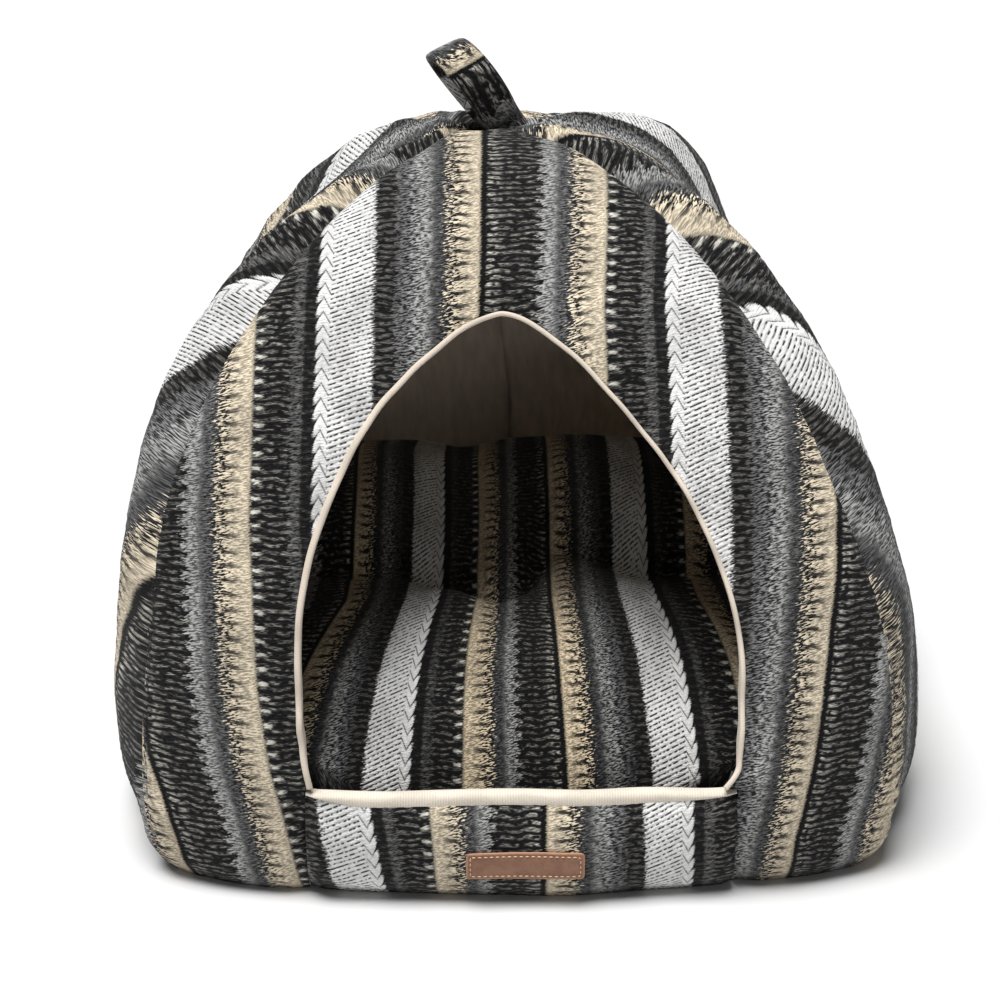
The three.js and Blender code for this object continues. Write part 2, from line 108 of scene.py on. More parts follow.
# The cushion's crown from front to back: distance from the middle and height
CUSHION_CROWN = np.array([
    (-204, 40), (-196, 66), (-182, 82), (-162, 97), (-136, 108), (-108, 114), (-88, 115), (-66, 119),
    (-42, 131), (-10, 142), (30, 146), (80, 134), (130, 112), (170, 86), (196, 50), (206, 40),
]) * MM
CUSHION_EDGE, CUSHION_FLOOR, CUSHION_INSET = 36 * MM, 8.7 * MM, 15.5 * MM
# Height at which the cushion's plan is first taken, and how much it is drawn in off the walls
CUSHION_MIDDLE, CUSHION_EASE = 50 * MM, 0.999
# Share of the fall at the cushion's sides that its stripes follow
CUSHION_SIDE = 0.7

# The crease across the cushion: width, then distance from the middle and depth at that width
CREASE = np.array([
    (-200, -62, 12), (-110, -62, 13), (-70, -64, 13), (-30, -76, 15), (-8, -88, 17), (6, -76, 14),
    (22, -46, 12), (40, -52, 13), (70, -64, 14), (110, -62, 13), (200, -62, 11),
]) * MM
# How far the crease spreads forwards and backwards, and the spacing and reach of the folds along it
CREASE_FRONT, CREASE_BACK = 10 * MM, 13 * MM
CREASE_FOLDS, CREASE_REACH = 43 * MM, 26 * MM

# The carry loop: where it leaves the peak, how it leans and turns, and its drop-shaped outline
LOOP_LEAN, LOOP_TURN = math.radians(35), math.radians(22)
LOOP_ROOT = Vector((-5 * MM, 0, 342 * MM))
LOOP_LEG = np.array([(2.7, -10), (3.0, 4.5), (9.4, 18.5), (13, 34.2), (9.6, 48.2), (0, 52.6)]) * MM
LOOP_WIDTH, LOOP_THICK = 21.5 * MM, 4.5 * MM
# How square the strap's section is across and through it, and how its fold slants and is pushed aside
LOOP_SQUARE, LOOP_SLANT, LOOP_ASIDE = (0.55, 0.75), 0.25, 1.6 * MM
# Half the cloth's measure round the strap
LOOP_ROUND = 26 * MM
# Where the stripes cross the strap: millimetres from its fold towards the front, share of a repeat
LOOP_STRIPES = np.array([
    (-70, -52), (0, 128), (6, 141), (9.5, 150), (15.5, 178), (18, 185), (46, 240), (64, 268),
])

# The tag: its middle on the lip, half its size, its corner, its thickness and how far it stands off
TAG_AT = (1.8 * MM, 25.2 * MM)
TAG_HALF = (29 * MM, 7.75 * MM)
TAG_CORNER, TAG_THICK, TAG_OFF = 2.2 * MM, 1.4 * MM, 0.7 * MM
STITCH_INSET, STITCH_PITCH, STITCH_LONG, STITCH_THICK = 2.1 * MM, 2.9 * MM, 1.9 * MM, 0.34 * MM

# One repeat of the cloth's stripes: name and width in shares, in the order they are woven
STRIPES = (
    ("black edge", 11), ("white ribs", 59), ("black", 22), ("grey fur", 58), ("beige", 28), ("line", 7),
    ("tufts", 14), ("knit rows", 41), ("pale grey", 16), ("dark fur", 20), ("second beige", 30),
    ("fringe", 10), ("dashes", 29), ("grey dashes", 11),
)
STRIPE_TOTAL = sum(width for _, width in STRIPES)


def stripe_start(name):
    """Where a stripe begins, as a share of the repeat."""
    names = [stripe for stripe, _ in STRIPES]
    return sum(width for _, width in STRIPES[:names.index(name)]) / STRIPE_TOTAL


LINE_MIDDLE = stripe_start("line") + dict(STRIPES)["line"] / 2 / STRIPE_TOTAL
# Where the cloth's measure starts, so that it stays above 0: across in repeats, along in metres
ACROSS_FROM, ALONG_FROM = 4, 2.0

# How the edges of the stripes look: stripe, share into it, then combed teeth, loose hairs and dark arcs
EDGE_LEVELS = (
    ("black edge", 0, (0, 0.15, 0)), ("grey fur", 0, (0.1, 0.3, 0)), ("grey fur", 0.36, (0.55, 0.35, 0)),
    ("grey fur", 0.68, (0.2, 0.4, 0)), ("grey fur", 0.88, (0.25, 1, 0)), ("beige", 0.1, (0.25, 1, 1)),
    ("beige", 0.5, (0.2, 0.8, 0.9)), ("beige", 0.8, (0.1, 0.25, 0.1)), ("line", 0, (0, 0.11, 0)),
    ("tufts", 0, (0, 0.1, 0)), ("knit rows", 0, (0, 0.35, 0)), ("knit rows", 0.7, (0.3, 0.3, 0)),
    ("pale grey", 0, (0.6, 0.35, 0)), ("pale grey", 0.6, (0.2, 0.3, 0)), ("dark fur", 0.2, (0.1, 0.4, 0)),
    ("dark fur", 0.8, (0.25, 1, 0)), ("second beige", 0.1, (0.25, 1, 1)),
    ("second beige", 0.45, (0.2, 0.7, 0.75)), ("second beige", 0.75, (0.1, 0.3, 0)),
    ("fringe", 0, (0, 0.13, 0)), ("grey dashes", 0, (0, 0.35, 0)), ("grey dashes", 1, (0, 0.15, 0)),
)
# Cream yarn in the dark stripes: stripe, share into it, then rows of tufts, thin lines and fringe
CREAM_LEVELS = (
    ("black edge", 0, (0.02, 0.08, 0)), ("black", 0, (0.20, 0.10, 0)), ("black", 0.98, (0.20, 0.10, 0)),
    ("grey fur", 0.02, (0, 0, 0)), ("line", 0.98, (0, 0, 0)), ("tufts", 0.02, (1, 0, 0)),
    ("tufts", 0.55, (0.75, 0.1, 0)), ("tufts", 1, (0.4, 0.3, 0)), ("knit rows", 0.1, (0.02, 0.42, 0)),
    ("knit rows", 0.98, (0.02, 0.42, 0)), ("pale grey", 0, (0, 0, 0)), ("second beige", 0.98, (0, 0, 0)),
    ("fringe", 0.1, (0, 0.2, 0.2)), ("fringe", 0.3, (0, 0.25, 1)), ("fringe", 0.85, (0, 0.3, 0.9)),
    ("dashes", 0.06, (0, 0.40, 0)), ("dashes", 0.95, (0, 0.40, 0)),
    ("grey dashes", 0.1, (0.22, 0.1, 0)), ("grey dashes", 1, (0.2, 0.1, 0)),
)
CREAM_TINT = (1.0, 0.97, 0.88)
# Hairs to a metre along their lie and across it, and how far teeth and loose hairs reach over an edge
HAIRS_ALONG, HAIRS_ACROSS = 360, 1250
TEETH_REACH, HAIR_REACH = 9 * MM, 36 * MM
# The white ribs: width of the braid's first loop, where the strands begin, and width of the whole stripe
RIB_LOOP, RIB_TURN, RIB_WIDTH = 3.4 * MM, 6.6 * MM, 26.8 * MM
TAPE_RIB, LINING_THREAD = 0.65 * MM, 1.2 * MM


class BedShape(bpy.types.PropertyGroup):
    """Softness of the walls and of the cushion."""
    seam_round: FloatProperty(
        name="Seam roundness", description="How sharply a wall swells off its seams", default=11.0, min=2.0)
    seam_drop: FloatProperty(
        name="Seam drop", description="Depth of the crease at a sewn seam", default=0.0022, unit="LENGTH")
    swell: FloatProperty(
        name="Swell", description="Unevenness of the stuffing", default=0.0016, unit="LENGTH")
    pucker: FloatProperty(
        name="Pucker", description="Height of the folds that run off a seam", default=0.0011, unit="LENGTH")
    fuzz: FloatProperty(
        name="Fuzz", description="Roughness of the knit's surface", default=0.00014, unit="LENGTH")
    cloth: FloatProperty(
        name="Cloth thickness", description="Thickness of a padded wall's shell",
        default=0.004, unit="LENGTH")
    pressure: FloatProperty(
        name="Filling", description="Pressure of the cushion's filling", default=4.0, min=0.0)
    reach: FloatProperty(
        name="Filling reach", description="Most that the filling moves the cushion's cover",
        default=0.006, unit="LENGTH")
    frames: IntProperty(
        name="Filling steps", description="Steps that the filling is given to settle", default=20, min=2)


class BedCloth(bpy.types.PropertyGroup):
    """Pattern and colours of the cloth, the tape, the lining and the leather."""
    repeat: FloatProperty(
        name="Repeat", description="Width of one repeat of stripes", default=0.163, unit="LENGTH")
    row: FloatProperty(
        name="Row", description="Height of one row of knitting", default=0.0035, unit="LENGTH")
    rib: FloatProperty(
        name="Rib", description="Height of one loop of the white stripe's braid",
        default=0.0077, unit="LENGTH")
    slant: FloatProperty(
        name="Slant", description="Slant of the pile's hairs", default=math.radians(14), subtype="ANGLE")
    black: FloatVectorProperty(
        name="Black", description="Darkest yarn", default=(0.008, 0.008, 0.0092), subtype="COLOR")
    dark: FloatVectorProperty(
        name="Dark grey", description="Dark grey yarn", default=(0.130, 0.130, 0.132), subtype="COLOR")
    grey: FloatVectorProperty(
        name="Grey", description="Middle grey yarn", default=(0.208, 0.208, 0.210), subtype="COLOR")
    pale: FloatVectorProperty(
        name="Pale grey", description="Pale grey yarn", default=(0.37, 0.37, 0.363), subtype="COLOR")
    beige: FloatVectorProperty(
        name="Beige", description="Beige yarn", default=(0.695, 0.60, 0.452), subtype="COLOR")
    white: FloatVectorProperty(
        name="White", description="White yarn", default=(0.715, 0.711, 0.70), subtype="COLOR")
    arch_tape: FloatVectorProperty(
        name="Arch tape", description="Tape round the mouth", default=(0.62, 0.54, 0.45), subtype="COLOR")
    lip_tape: FloatVectorProperty(
        name="Lip tape", description="Tape along the lip", default=(0.72, 0.645, 0.545), subtype="COLOR")
    lining: FloatVectorProperty(
        name="Lining", description="Plain lining", default=(0.92, 0.80, 0.68), subtype="COLOR")
    leather: FloatVectorProperty(
        name="Leather", description="Leather tag", default=(0.20, 0.092, 0.052), subtype="COLOR")
    leather_edge: FloatVectorProperty(
        name="Leather edge", description="Rubbed edge of the tag",
        default=(0.44, 0.23, 0.135), subtype="COLOR")
    thread: FloatVectorProperty(
        name="Thread", description="Stitching of the tag", default=(0.62, 0.42, 0.28), subtype="COLOR")
    under: FloatVectorProperty(
        name="Underside", description="Plain cloth under the bed",
        default=(0.03, 0.03, 0.032), subtype="COLOR")


class BedStage(bpy.types.PropertyGroup):
    """Floor, lights and camera."""
    floor: FloatVectorProperty(
        name="Floor", description="Colour of the floor", default=(0.66, 0.66, 0.66), subtype="COLOR")
    sky: FloatProperty(
        name="Room light", description="Strength of the light from all round", default=0.12, min=0.0)
    key: FloatProperty(
        name="Key light", description="Strength of the soft light from above", default=4.75, min=0.0)
    fill: FloatProperty(
        name="Fill light", description="Strength of the weak light that reaches into the mouth",
        default=0.2, min=0.0)
    softness: FloatProperty(
        name="Softness", description="Width of the soft light as seen from the bed",
        default=math.radians(32), subtype="ANGLE")
    distance: FloatProperty(
        name="Camera distance", description="From the camera to the bed", default=1.25, unit="LENGTH")
    elevation: FloatProperty(
        name="Camera height", description="Angle of the camera above level",
        default=math.radians(22), subtype="ANGLE")
    yaw: FloatProperty(
        name="Camera turn", description="Angle of the camera off the front",
        default=math.radians(-1.0), subtype="ANGLE")
    aim_z: FloatProperty(
        name="Aim height", description="Height that the camera looks at", default=0.128, unit="LENGTH")
    lens: FloatProperty(
        name="Lens", description="Focal length in millimetres", default=80.2, min=1.0)


def shape():
    return bpy.context.scene.bed_shape


def cloth():
    return bpy.context.scene.bed_cloth


# Curves and soft noise


def smooth(x, low, high):
    """Soft step from 0 at low to 1 at high."""
    w = np.clip((x - low) / (high - low), 0.0, 1.0)
    return w * w * (3 - 2 * w)


def bell(x, width):
    """1 at 0, falling off softly over a width to both sides."""
    return np.exp(-(x / width) ** 2)


def spline(points, t):
    """Points of the smooth curve through some points, t running from 0 to 1."""
    last = len(points) - 1
    place = np.clip(np.asarray(t, float), 0.0, 1.0) * last
    row = np.minimum(place.astype(int), last - 1)
    w = (place - row)[..., None]
    before, start = points[np.maximum(row - 1, 0)], points[row]
    end, after = points[row + 1], points[np.minimum(row + 2, last)]
    leave, arrive = (end - before) / 2, (after - start) / 2
    cubic = 2 * start - 2 * end + leave + arrive
    square = 3 * end - 3 * start - 2 * leave - arrive
    return ((cubic * w + square) * w + leave) * w + start


def unit(vectors):
    return vectors / np.linalg.norm(vectors, axis=-1, keepdims=True)


def lengths(path):
    """Distance along a path at each of its points."""
    steps = np.linalg.norm(np.diff(path, axis=0), axis=1)
    return np.concatenate([[0.0], np.cumsum(steps)])


def rows_at(x, places, table):
    """Rows of a table at x, by the places of its rows."""
    return np.stack([np.interp(x, places, axis) for axis in table.T], -1)


def resample(path, shares):
    """Points at shares of a path's length."""
    along = lengths(path)
    return rows_at(shares * along[-1], along, path)


def waves(a, b, size, seed, count=8):
    """Soft uneven swell between about -1 and 1, its hollows about half a size apart."""
    chance = np.random.default_rng(seed)
    total = 0.0
    for _ in range(count):
        turn, phase = chance.uniform(0, 2 * math.pi, 2)
        length = size * chance.uniform(0.7, 1.5)
        total = total + np.sin(2 * math.pi * (a * math.cos(turn) + b * math.sin(turn)) / length + phase)
    return total / math.sqrt(count)


def fuzz(count, seed):
    """Fine random height of the knit's pile."""
    return np.random.default_rng(seed).normal(0.0, shape().fuzz, count)


def crowd(a, more):
    """Shares from -1 to 1 crowded towards their two ends."""
    return a * (1 + more - more * a * a)


# The dome


def lean(z):
    return LEAN * smooth(z, LEAN_FROM, LEAN_TO)


def outward(points, t):
    """Direction out of a profile, level at the floor."""
    step = 1e-4
    along = unit(spline(points, np.minimum(t + step, 1.0)) - spline(points, np.maximum(t - step, 0.0)))
    return np.stack([along[..., 1], -along[..., 0] * np.minimum(1.0, t / FOOT)], -1)


def dome(side, s, t, relief=0.0, depth=None):
    """Points of one side: s runs from seam to seam, t from floor to peak, and relief stands off it.

    With a depth they lie on the smooth face that far inside the wall.
    """
    s, t = np.broadcast_arrays(np.asarray(s, float), np.asarray(t, float))
    away = outward(CROWN, t)
    if depth is None:
        crown = spline(CROWN, t) - away * PAD
        seam = spline(SEAM, t)
        stand = PAD * (1 - np.abs(s) ** shape().seam_round) + relief
    else:
        crown = spline(CROWN, t) - away * depth
        seam = spline(SEAM, t) - outward(SEAM, t) * (depth * MITRE - PAD)
        stand = np.zeros_like(s) + relief
    stand = stand + SHOULDER.get(side, 0.0) * (1 - s * s) * bell(t - SHOULDER_AT, SHOULDER_SPREAD)
    reach = seam[..., 0] / math.sqrt(2)
    bow = (1 - s * s)[..., None]
    flat = np.stack([reach, seam[..., 1]], -1) * (1 - bow) + crown * bow + away * stand[..., None]
    across, out, z = reach * s, flat[..., 0], flat[..., 1]
    x, y = {FRONT: (across, -out), RIGHT: (out, across), BACK: (-across, out), LEFT: (-out, -across)}[side]
    return np.stack([x + lean(z) + PEAK_SHIFT * smooth(t, PEAK_FROM, 1.0), y, z], -1)


def seam_reach(t):
    return spline(SEAM, t)[..., 0] / math.sqrt(2)


TABLE_T = np.linspace(0, 1, 401)
CROWN_LENGTH = lengths(spline(CROWN, TABLE_T))


def climb(t):
    """Length of cloth from the floor up a panel's middle."""
    return np.interp(t, TABLE_T, CROWN_LENGTH)


def rise_at(z):
    """The t of a panel's middle at a height below its shoulders."""
    rising = TABLE_T[:300]
    return np.interp(z, spline(CROWN, rising)[:, 1], rising)


def front_place(x, z):
    """The s and t of the front panel's outer face at a width and height."""
    low, high = np.zeros_like(z), np.full_like(z, 0.86)
    for _ in range(34):
        t = (low + high) / 2
        s = (x - lean(z)) / seam_reach(t)
        below = dome(FRONT, s, t)[..., 2] < z
        low, high = np.where(below, t, low), np.where(below, high, t)
    return s, t


def front_face(x, z):
    """Points of the front panel's outer face at a width and height."""
    x, z = np.broadcast_arrays(np.asarray(x, float), np.asarray(z, float))
    s, t = front_place(x, z)
    return np.stack([x, dome(FRONT, s, t)[..., 1], z], -1)


def lip_face(x, z):
    """Points of the lip's outer face: round at the floor, drawn straighter towards its top."""
    x, z = np.broadcast_arrays(np.asarray(x, float), np.asarray(z, float))
    end = front_face(np.full_like(x, MOUTH_FOOT), z)[..., 1]
    belly = 1 + (LIP_BELLY - 1) * z / LIP_TOP
    return np.stack([x, end + (front_face(x, z)[..., 1] - end) * belly, z], -1)


def mouth_edge(shares):
    """Width and height of the mouth's edge, from its left foot over the arch to its right foot."""
    halves = [half_mouth(sign, *tuck) for sign, tuck in ((-1, LEFT_TUCK), (1, RIGHT_TUCK))]
    edge = np.vstack([halves[0], halves[1][-2::-1]])
    high = smooth(edge[:, 1], ARCH_FROM, ARCH_TO)
    edge[:, 0] += lean(edge[:, 1]) * (MOUTH_LEAN + (ARCH_LEAN - MOUTH_LEAN) * high)
    return resample(edge, shares)


def half_mouth(sign, tuck, tuck_rise):
    """One half of the mouth's edge, from its foot to the peak."""
    rise = np.linspace(0, 1, 12)
    foot = [(-MOUTH_FOOT, 0), (-MOUTH_FOOT, LIP_TOP + 1.8 * MM)]
    turn = np.stack([-MOUTH_FOOT + tuck * (1 - smooth(rise, -0.3, 1.0)), EDGE_CLEAR + rise * tuck_rise], -1)
    leg = np.vstack([foot, turn, [(-MOUTH_HALF, EDGE_CLEAR + 30 * MM), (-MOUTH_HALF, SPRING_Z)]])
    w = np.linspace(0, 1, 160)[1:, None]
    side, top, peak = ARCH_PULL * np.array([(1, 1), (1, 1), (-sign, 1)])
    arch = leg[-1] * (1 - w) ** 3 + 3 * side * w * (1 - w) ** 2 + 3 * top * w * w * (1 - w) + peak * w ** 3
    return np.vstack([leg, arch]) * (-sign, 1)


# Meshes and pieces


def to_mesh(bm, name):
    """A new mesh made from a bmesh, which is freed."""
    mesh = bpy.data.meshes.new(name)
    bm.to_mesh(mesh)
    bm.free()
    return mesh


def positions(mesh):
    """The places of a mesh's points, one to a row."""
    flat = np.empty(len(mesh.vertices) * 3, np.float32)
    mesh.vertices.foreach_get("co", flat)
    return flat.reshape(-1, 3).astype(float)


def move_to(mesh, points):
    """Put a mesh's points at some places."""
    if not np.isfinite(points).all():
        raise RuntimeError(f"{mesh.name}: a point has no place")
    mesh.vertices.foreach_set("co", points.astype(np.float32).ravel())
    mesh.update()


def grid(name, columns, rows, place):
    """Sheet of quads: place gives the points and the cloth's own measure for a and b from -1 to 1."""
    bm = bmesh.new()
    bmesh.ops.create_grid(bm, x_segments=columns, y_segments=rows, size=1.0)
    mesh = to_mesh(bm, name)
    flat = positions(mesh)
    points, measure = place(flat[:, 0], flat[:, 1])
    corners = np.empty(len(mesh.loops), np.int32)
    mesh.loops.foreach_get("vertex_index", corners)
    mesh.uv_layers.new(name="cloth").data.foreach_set("uv", measure[corners].astype(np.float32).ravel())
    move_to(mesh, points)
    return mesh


def seal(mesh, distance):
    """Join the points of a mesh that lie in one place, and close what is left open."""
    bm = bmesh.new()
    bm.from_mesh(mesh)
    bmesh.ops.remove_doubles(bm, verts=bm.verts, dist=distance)
    open_edges = [edge for edge in bm.edges if edge.is_boundary]
    if open_edges:
        bmesh.ops.holes_fill(bm, edges=open_edges, sides=0)
    bmesh.ops.recalc_face_normals(bm, faces=bm.faces)
    bm.to_mesh(mesh)
    bm.free()


def turn_faces(mesh):
    """Turn an open sheet's faces all the same way."""
    bm = bmesh.new()
    bm.from_mesh(mesh)
    bmesh.ops.recalc_face_normals(bm, faces=bm.faces)
    bm.to_mesh(mesh)
    bm.free()


def joined(name, meshes):
    """One mesh of several, with their measures kept."""
    bm = bmesh.new()
    for mesh in meshes:
        bm.from_mesh(mesh)
        bpy.data.meshes.remove(mesh)
    return to_mesh(bm, name)


def add_piece(mesh, material, slot, *nodes):
    """Put a mesh in the scene as a piece that stands for some solids."""
    piece = bpy.data.objects.new(mesh.name, mesh)
    bpy.context.scene.collection.objects.link(piece)
    mesh.materials.append(material)
    mesh.polygons.foreach_set("use_smooth", np.ones(len(mesh.polygons), bool))
    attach(piece, "root")
    if nodes:
        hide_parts(*nodes)
    return piece


def thicken(piece, thickness):
    """Give a sheet its thickness behind its face."""
    modifier = piece.modifiers.new("thickness", "SOLIDIFY")
    modifier.thickness = thickness
    modifier.offset = -1.0
    modifier.use_even_offset = False


def pad(mesh, node):
    """A padded wall of striped cloth that stands for a solid."""
    wall = add_piece(mesh, striped_material(), "striped_cloth", node)
    thicken(wall, shape().cloth)


def round_off(piece):
    """Smooth a piece by one level of subdivision."""
    modifier = piece.modifiers.new("roundness", "SUBSURF")
    modifier.levels = 1
    modifier.render_levels = 1


# Node helpers


class Nodes:
    """Builds one node tree, taking sockets or plain values as inputs."""

    def __init__(self, tree):
        self.tree = tree

    def feed(self, socket, value):
        """Link a socket to another, or set its plain value."""
        if isinstance(value, bpy.types.NodeSocket):
            self.tree.links.new(value, socket)
        elif hasattr(value, "__len__") and len(value) == 3 and socket.type == "RGBA":
            socket.default_value = (*value, 1.0)
        else:
            socket.default_value = value

    def add(self, kind, **settings):
        node = self.tree.nodes.new(kind)
        for name, value in settings.items():
            setattr(node, name, value)
        return node

    def math(self, operation, *values, clamp=False):
        node = self.add("ShaderNodeMath", operation=operation, use_clamp=clamp)
        for socket, value in zip(node.inputs, values):
            self.feed(socket, value)
        return node.outputs[0]

    def times(self, first, second):
        return self.math("MULTIPLY", first, second)

    def times_plus(self, value, factor, more):
        return self.math("MULTIPLY_ADD", value, factor, more)

    def plus(self, first, second):
        return self.math("ADD", first, second)

    def minus(self, first, second):
        return self.math("SUBTRACT", first, second)

    def over(self, first, second):
        return self.math("DIVIDE", first, second)

    def highest(self, first, second):
        return self.math("MAXIMUM", first, second)

    def lowest(self, first, second):
        return self.math("MINIMUM", first, second)

    def fract(self, value):
        return self.math("FRACT", value)

    def zigzag(self, value):
        """Rises from 0 to 1 over one unit and falls back over the next."""
        return self.math("PINGPONG", value, 1.0)

    def off_middle(self, value):
        """0 in the middle of each unit, 1 at its ends."""
        return self.math("ABSOLUTE", self.times_plus(self.fract(value), 2.0, -1.0))

    def sum(self, first, first_weight, second, second_weight):
        return self.times_plus(first, first_weight, self.times(second, second_weight))

    def range(self, value, low, high, to_low=0.0, to_high=1.0):
        """Soft step between two levels as a value goes from low to high."""
        node = self.add("ShaderNodeMapRange", interpolation_type="SMOOTHSTEP")
        for socket, given in zip(node.inputs, (value, low, high, to_low, to_high)):
            self.feed(socket, given)
        return node.outputs[0]

    def vary(self, noise, to_low, to_high):
        """A noise's usual spread turned into a range of values."""
        return self.range(noise, 0.3, 0.7, to_low, to_high)

    def point(self, x, y, z=0.0):
        node = self.add("ShaderNodeCombineXYZ")
        for socket, value in zip(node.inputs, (x, y, z)):
            self.feed(socket, value)
        return node.outputs[0]

    def split(self, vector):
        node = self.add("ShaderNodeSeparateXYZ")
        self.feed(node.inputs[0], vector)
        return node.outputs[0], node.outputs[1], node.outputs[2]

    def noise(self, vector, scale=1.0, detail=1.0, roughness=0.5):
        node = self.add("ShaderNodeTexNoise")
        self.feed(node.inputs["Vector"], vector)
        node.inputs["Scale"].default_value = scale
        node.inputs["Detail"].default_value = detail
        node.inputs["Roughness"].default_value = roughness
        return node.outputs[0]

    def grain(self, u, v, across, along, layer=0.0, detail=1.0, roughness=0.5):
        """Noise over the cloth with some cells to a metre across and along it, one of several layers."""
        cells = self.point(self.times(u, across), self.times(v, along), layer)
        return self.noise(cells, detail=detail, roughness=roughness)

    def ramp(self, value, stops):
        """Colour ramp of (place, colour) stops, a colour being three numbers, or four with its alpha."""
        node = self.add("ShaderNodeValToRGB")
        elements = node.color_ramp.elements
        elements.remove(elements[-1])
        for index, (place, colour) in enumerate(stops):
            element = elements[0] if index == 0 else elements.new(place)
            element.position = place
            element.color = (*colour, 1.0) if len(colour) == 3 else colour
        self.feed(node.inputs[0], value)
        return node.outputs[0], node.outputs[1]

    def mix(self, share, first, second):
        node = self.add("ShaderNodeMix", data_type="RGBA")
        self.feed(node.inputs[0], share)
        self.feed(node.inputs[6], first)
        self.feed(node.inputs[7], second)
        return node.outputs[2]

    def tint(self, colour, strength):
        """A colour made lighter or darker by a value."""
        node = self.add("ShaderNodeVectorMath", operation="SCALE")
        self.feed(node.inputs[0], colour)
        self.feed(node.inputs["Scale"], strength)
        return node.outputs[0]

    def measure(self):
        """The cloth's own measure in metres, across and along its stripes."""
        return self.split(self.add("ShaderNodeUVMap", uv_map="cloth").outputs[0])[:2]

    def object_place(self):
        return self.add("ShaderNodeTexCoord").outputs["Object"]


def stripe_levels(table):
    """Ramp stops from a table of stripes, shares into them and levels."""
    widths = dict(STRIPES)
    return [(stripe_start(name) + into * widths[name] / STRIPE_TOTAL, level) for name, into, level in table]


def yarn(tone, shade, deep=1.0):
    """A yarn's colour, with the shade of the hollows between its hairs as alpha."""
    return (*(deep * value for value in tone), shade)


def stripe_stops():
    """Ramp stops of the yarns across one repeat."""
    tones = cloth()
    edge, black = yarn(tones.black, 0.3), yarn(tones.black, 0.25)
    fur, pale, beige = yarn(tones.dark, 0.06), yarn(tones.pale, 0.12), yarn(tones.beige, 0.45)
    yarns = {
        "black edge": edge, "white ribs": edge, "black": black, "grey fur": fur, "beige": beige,
        "line": yarn(tones.black, 0.5, 0.4), "tufts": black, "knit rows": black,
        "pale grey": yarn(tones.pale, 0.20), "dark fur": fur, "second beige": beige,
        "fringe": black, "dashes": black, "grey dashes": yarn(tones.dark, 0.10, 0.6),
    }
    within = {"grey fur": [
        (0.28, yarn(tones.grey, 0.06)), (0.36, pale), (0.60, pale), (0.70, yarn(tones.dark, 0.05, 0.75))]}
    stops, soft = [], 0.8 / STRIPE_TOTAL
    for name, width in STRIPES:
        start = stripe_start(name)
        if not stops:
            stops.append((start, yarns[name]))
        elif stops[-1][1] != yarns[name]:
            stops.append((start - soft, stops[-1][1]))
            stops.append((start + soft, yarns[name]))
        stops.extend((start + into * width / STRIPE_TOTAL, tone) for into, tone in within.get(name, ()))
    return stops


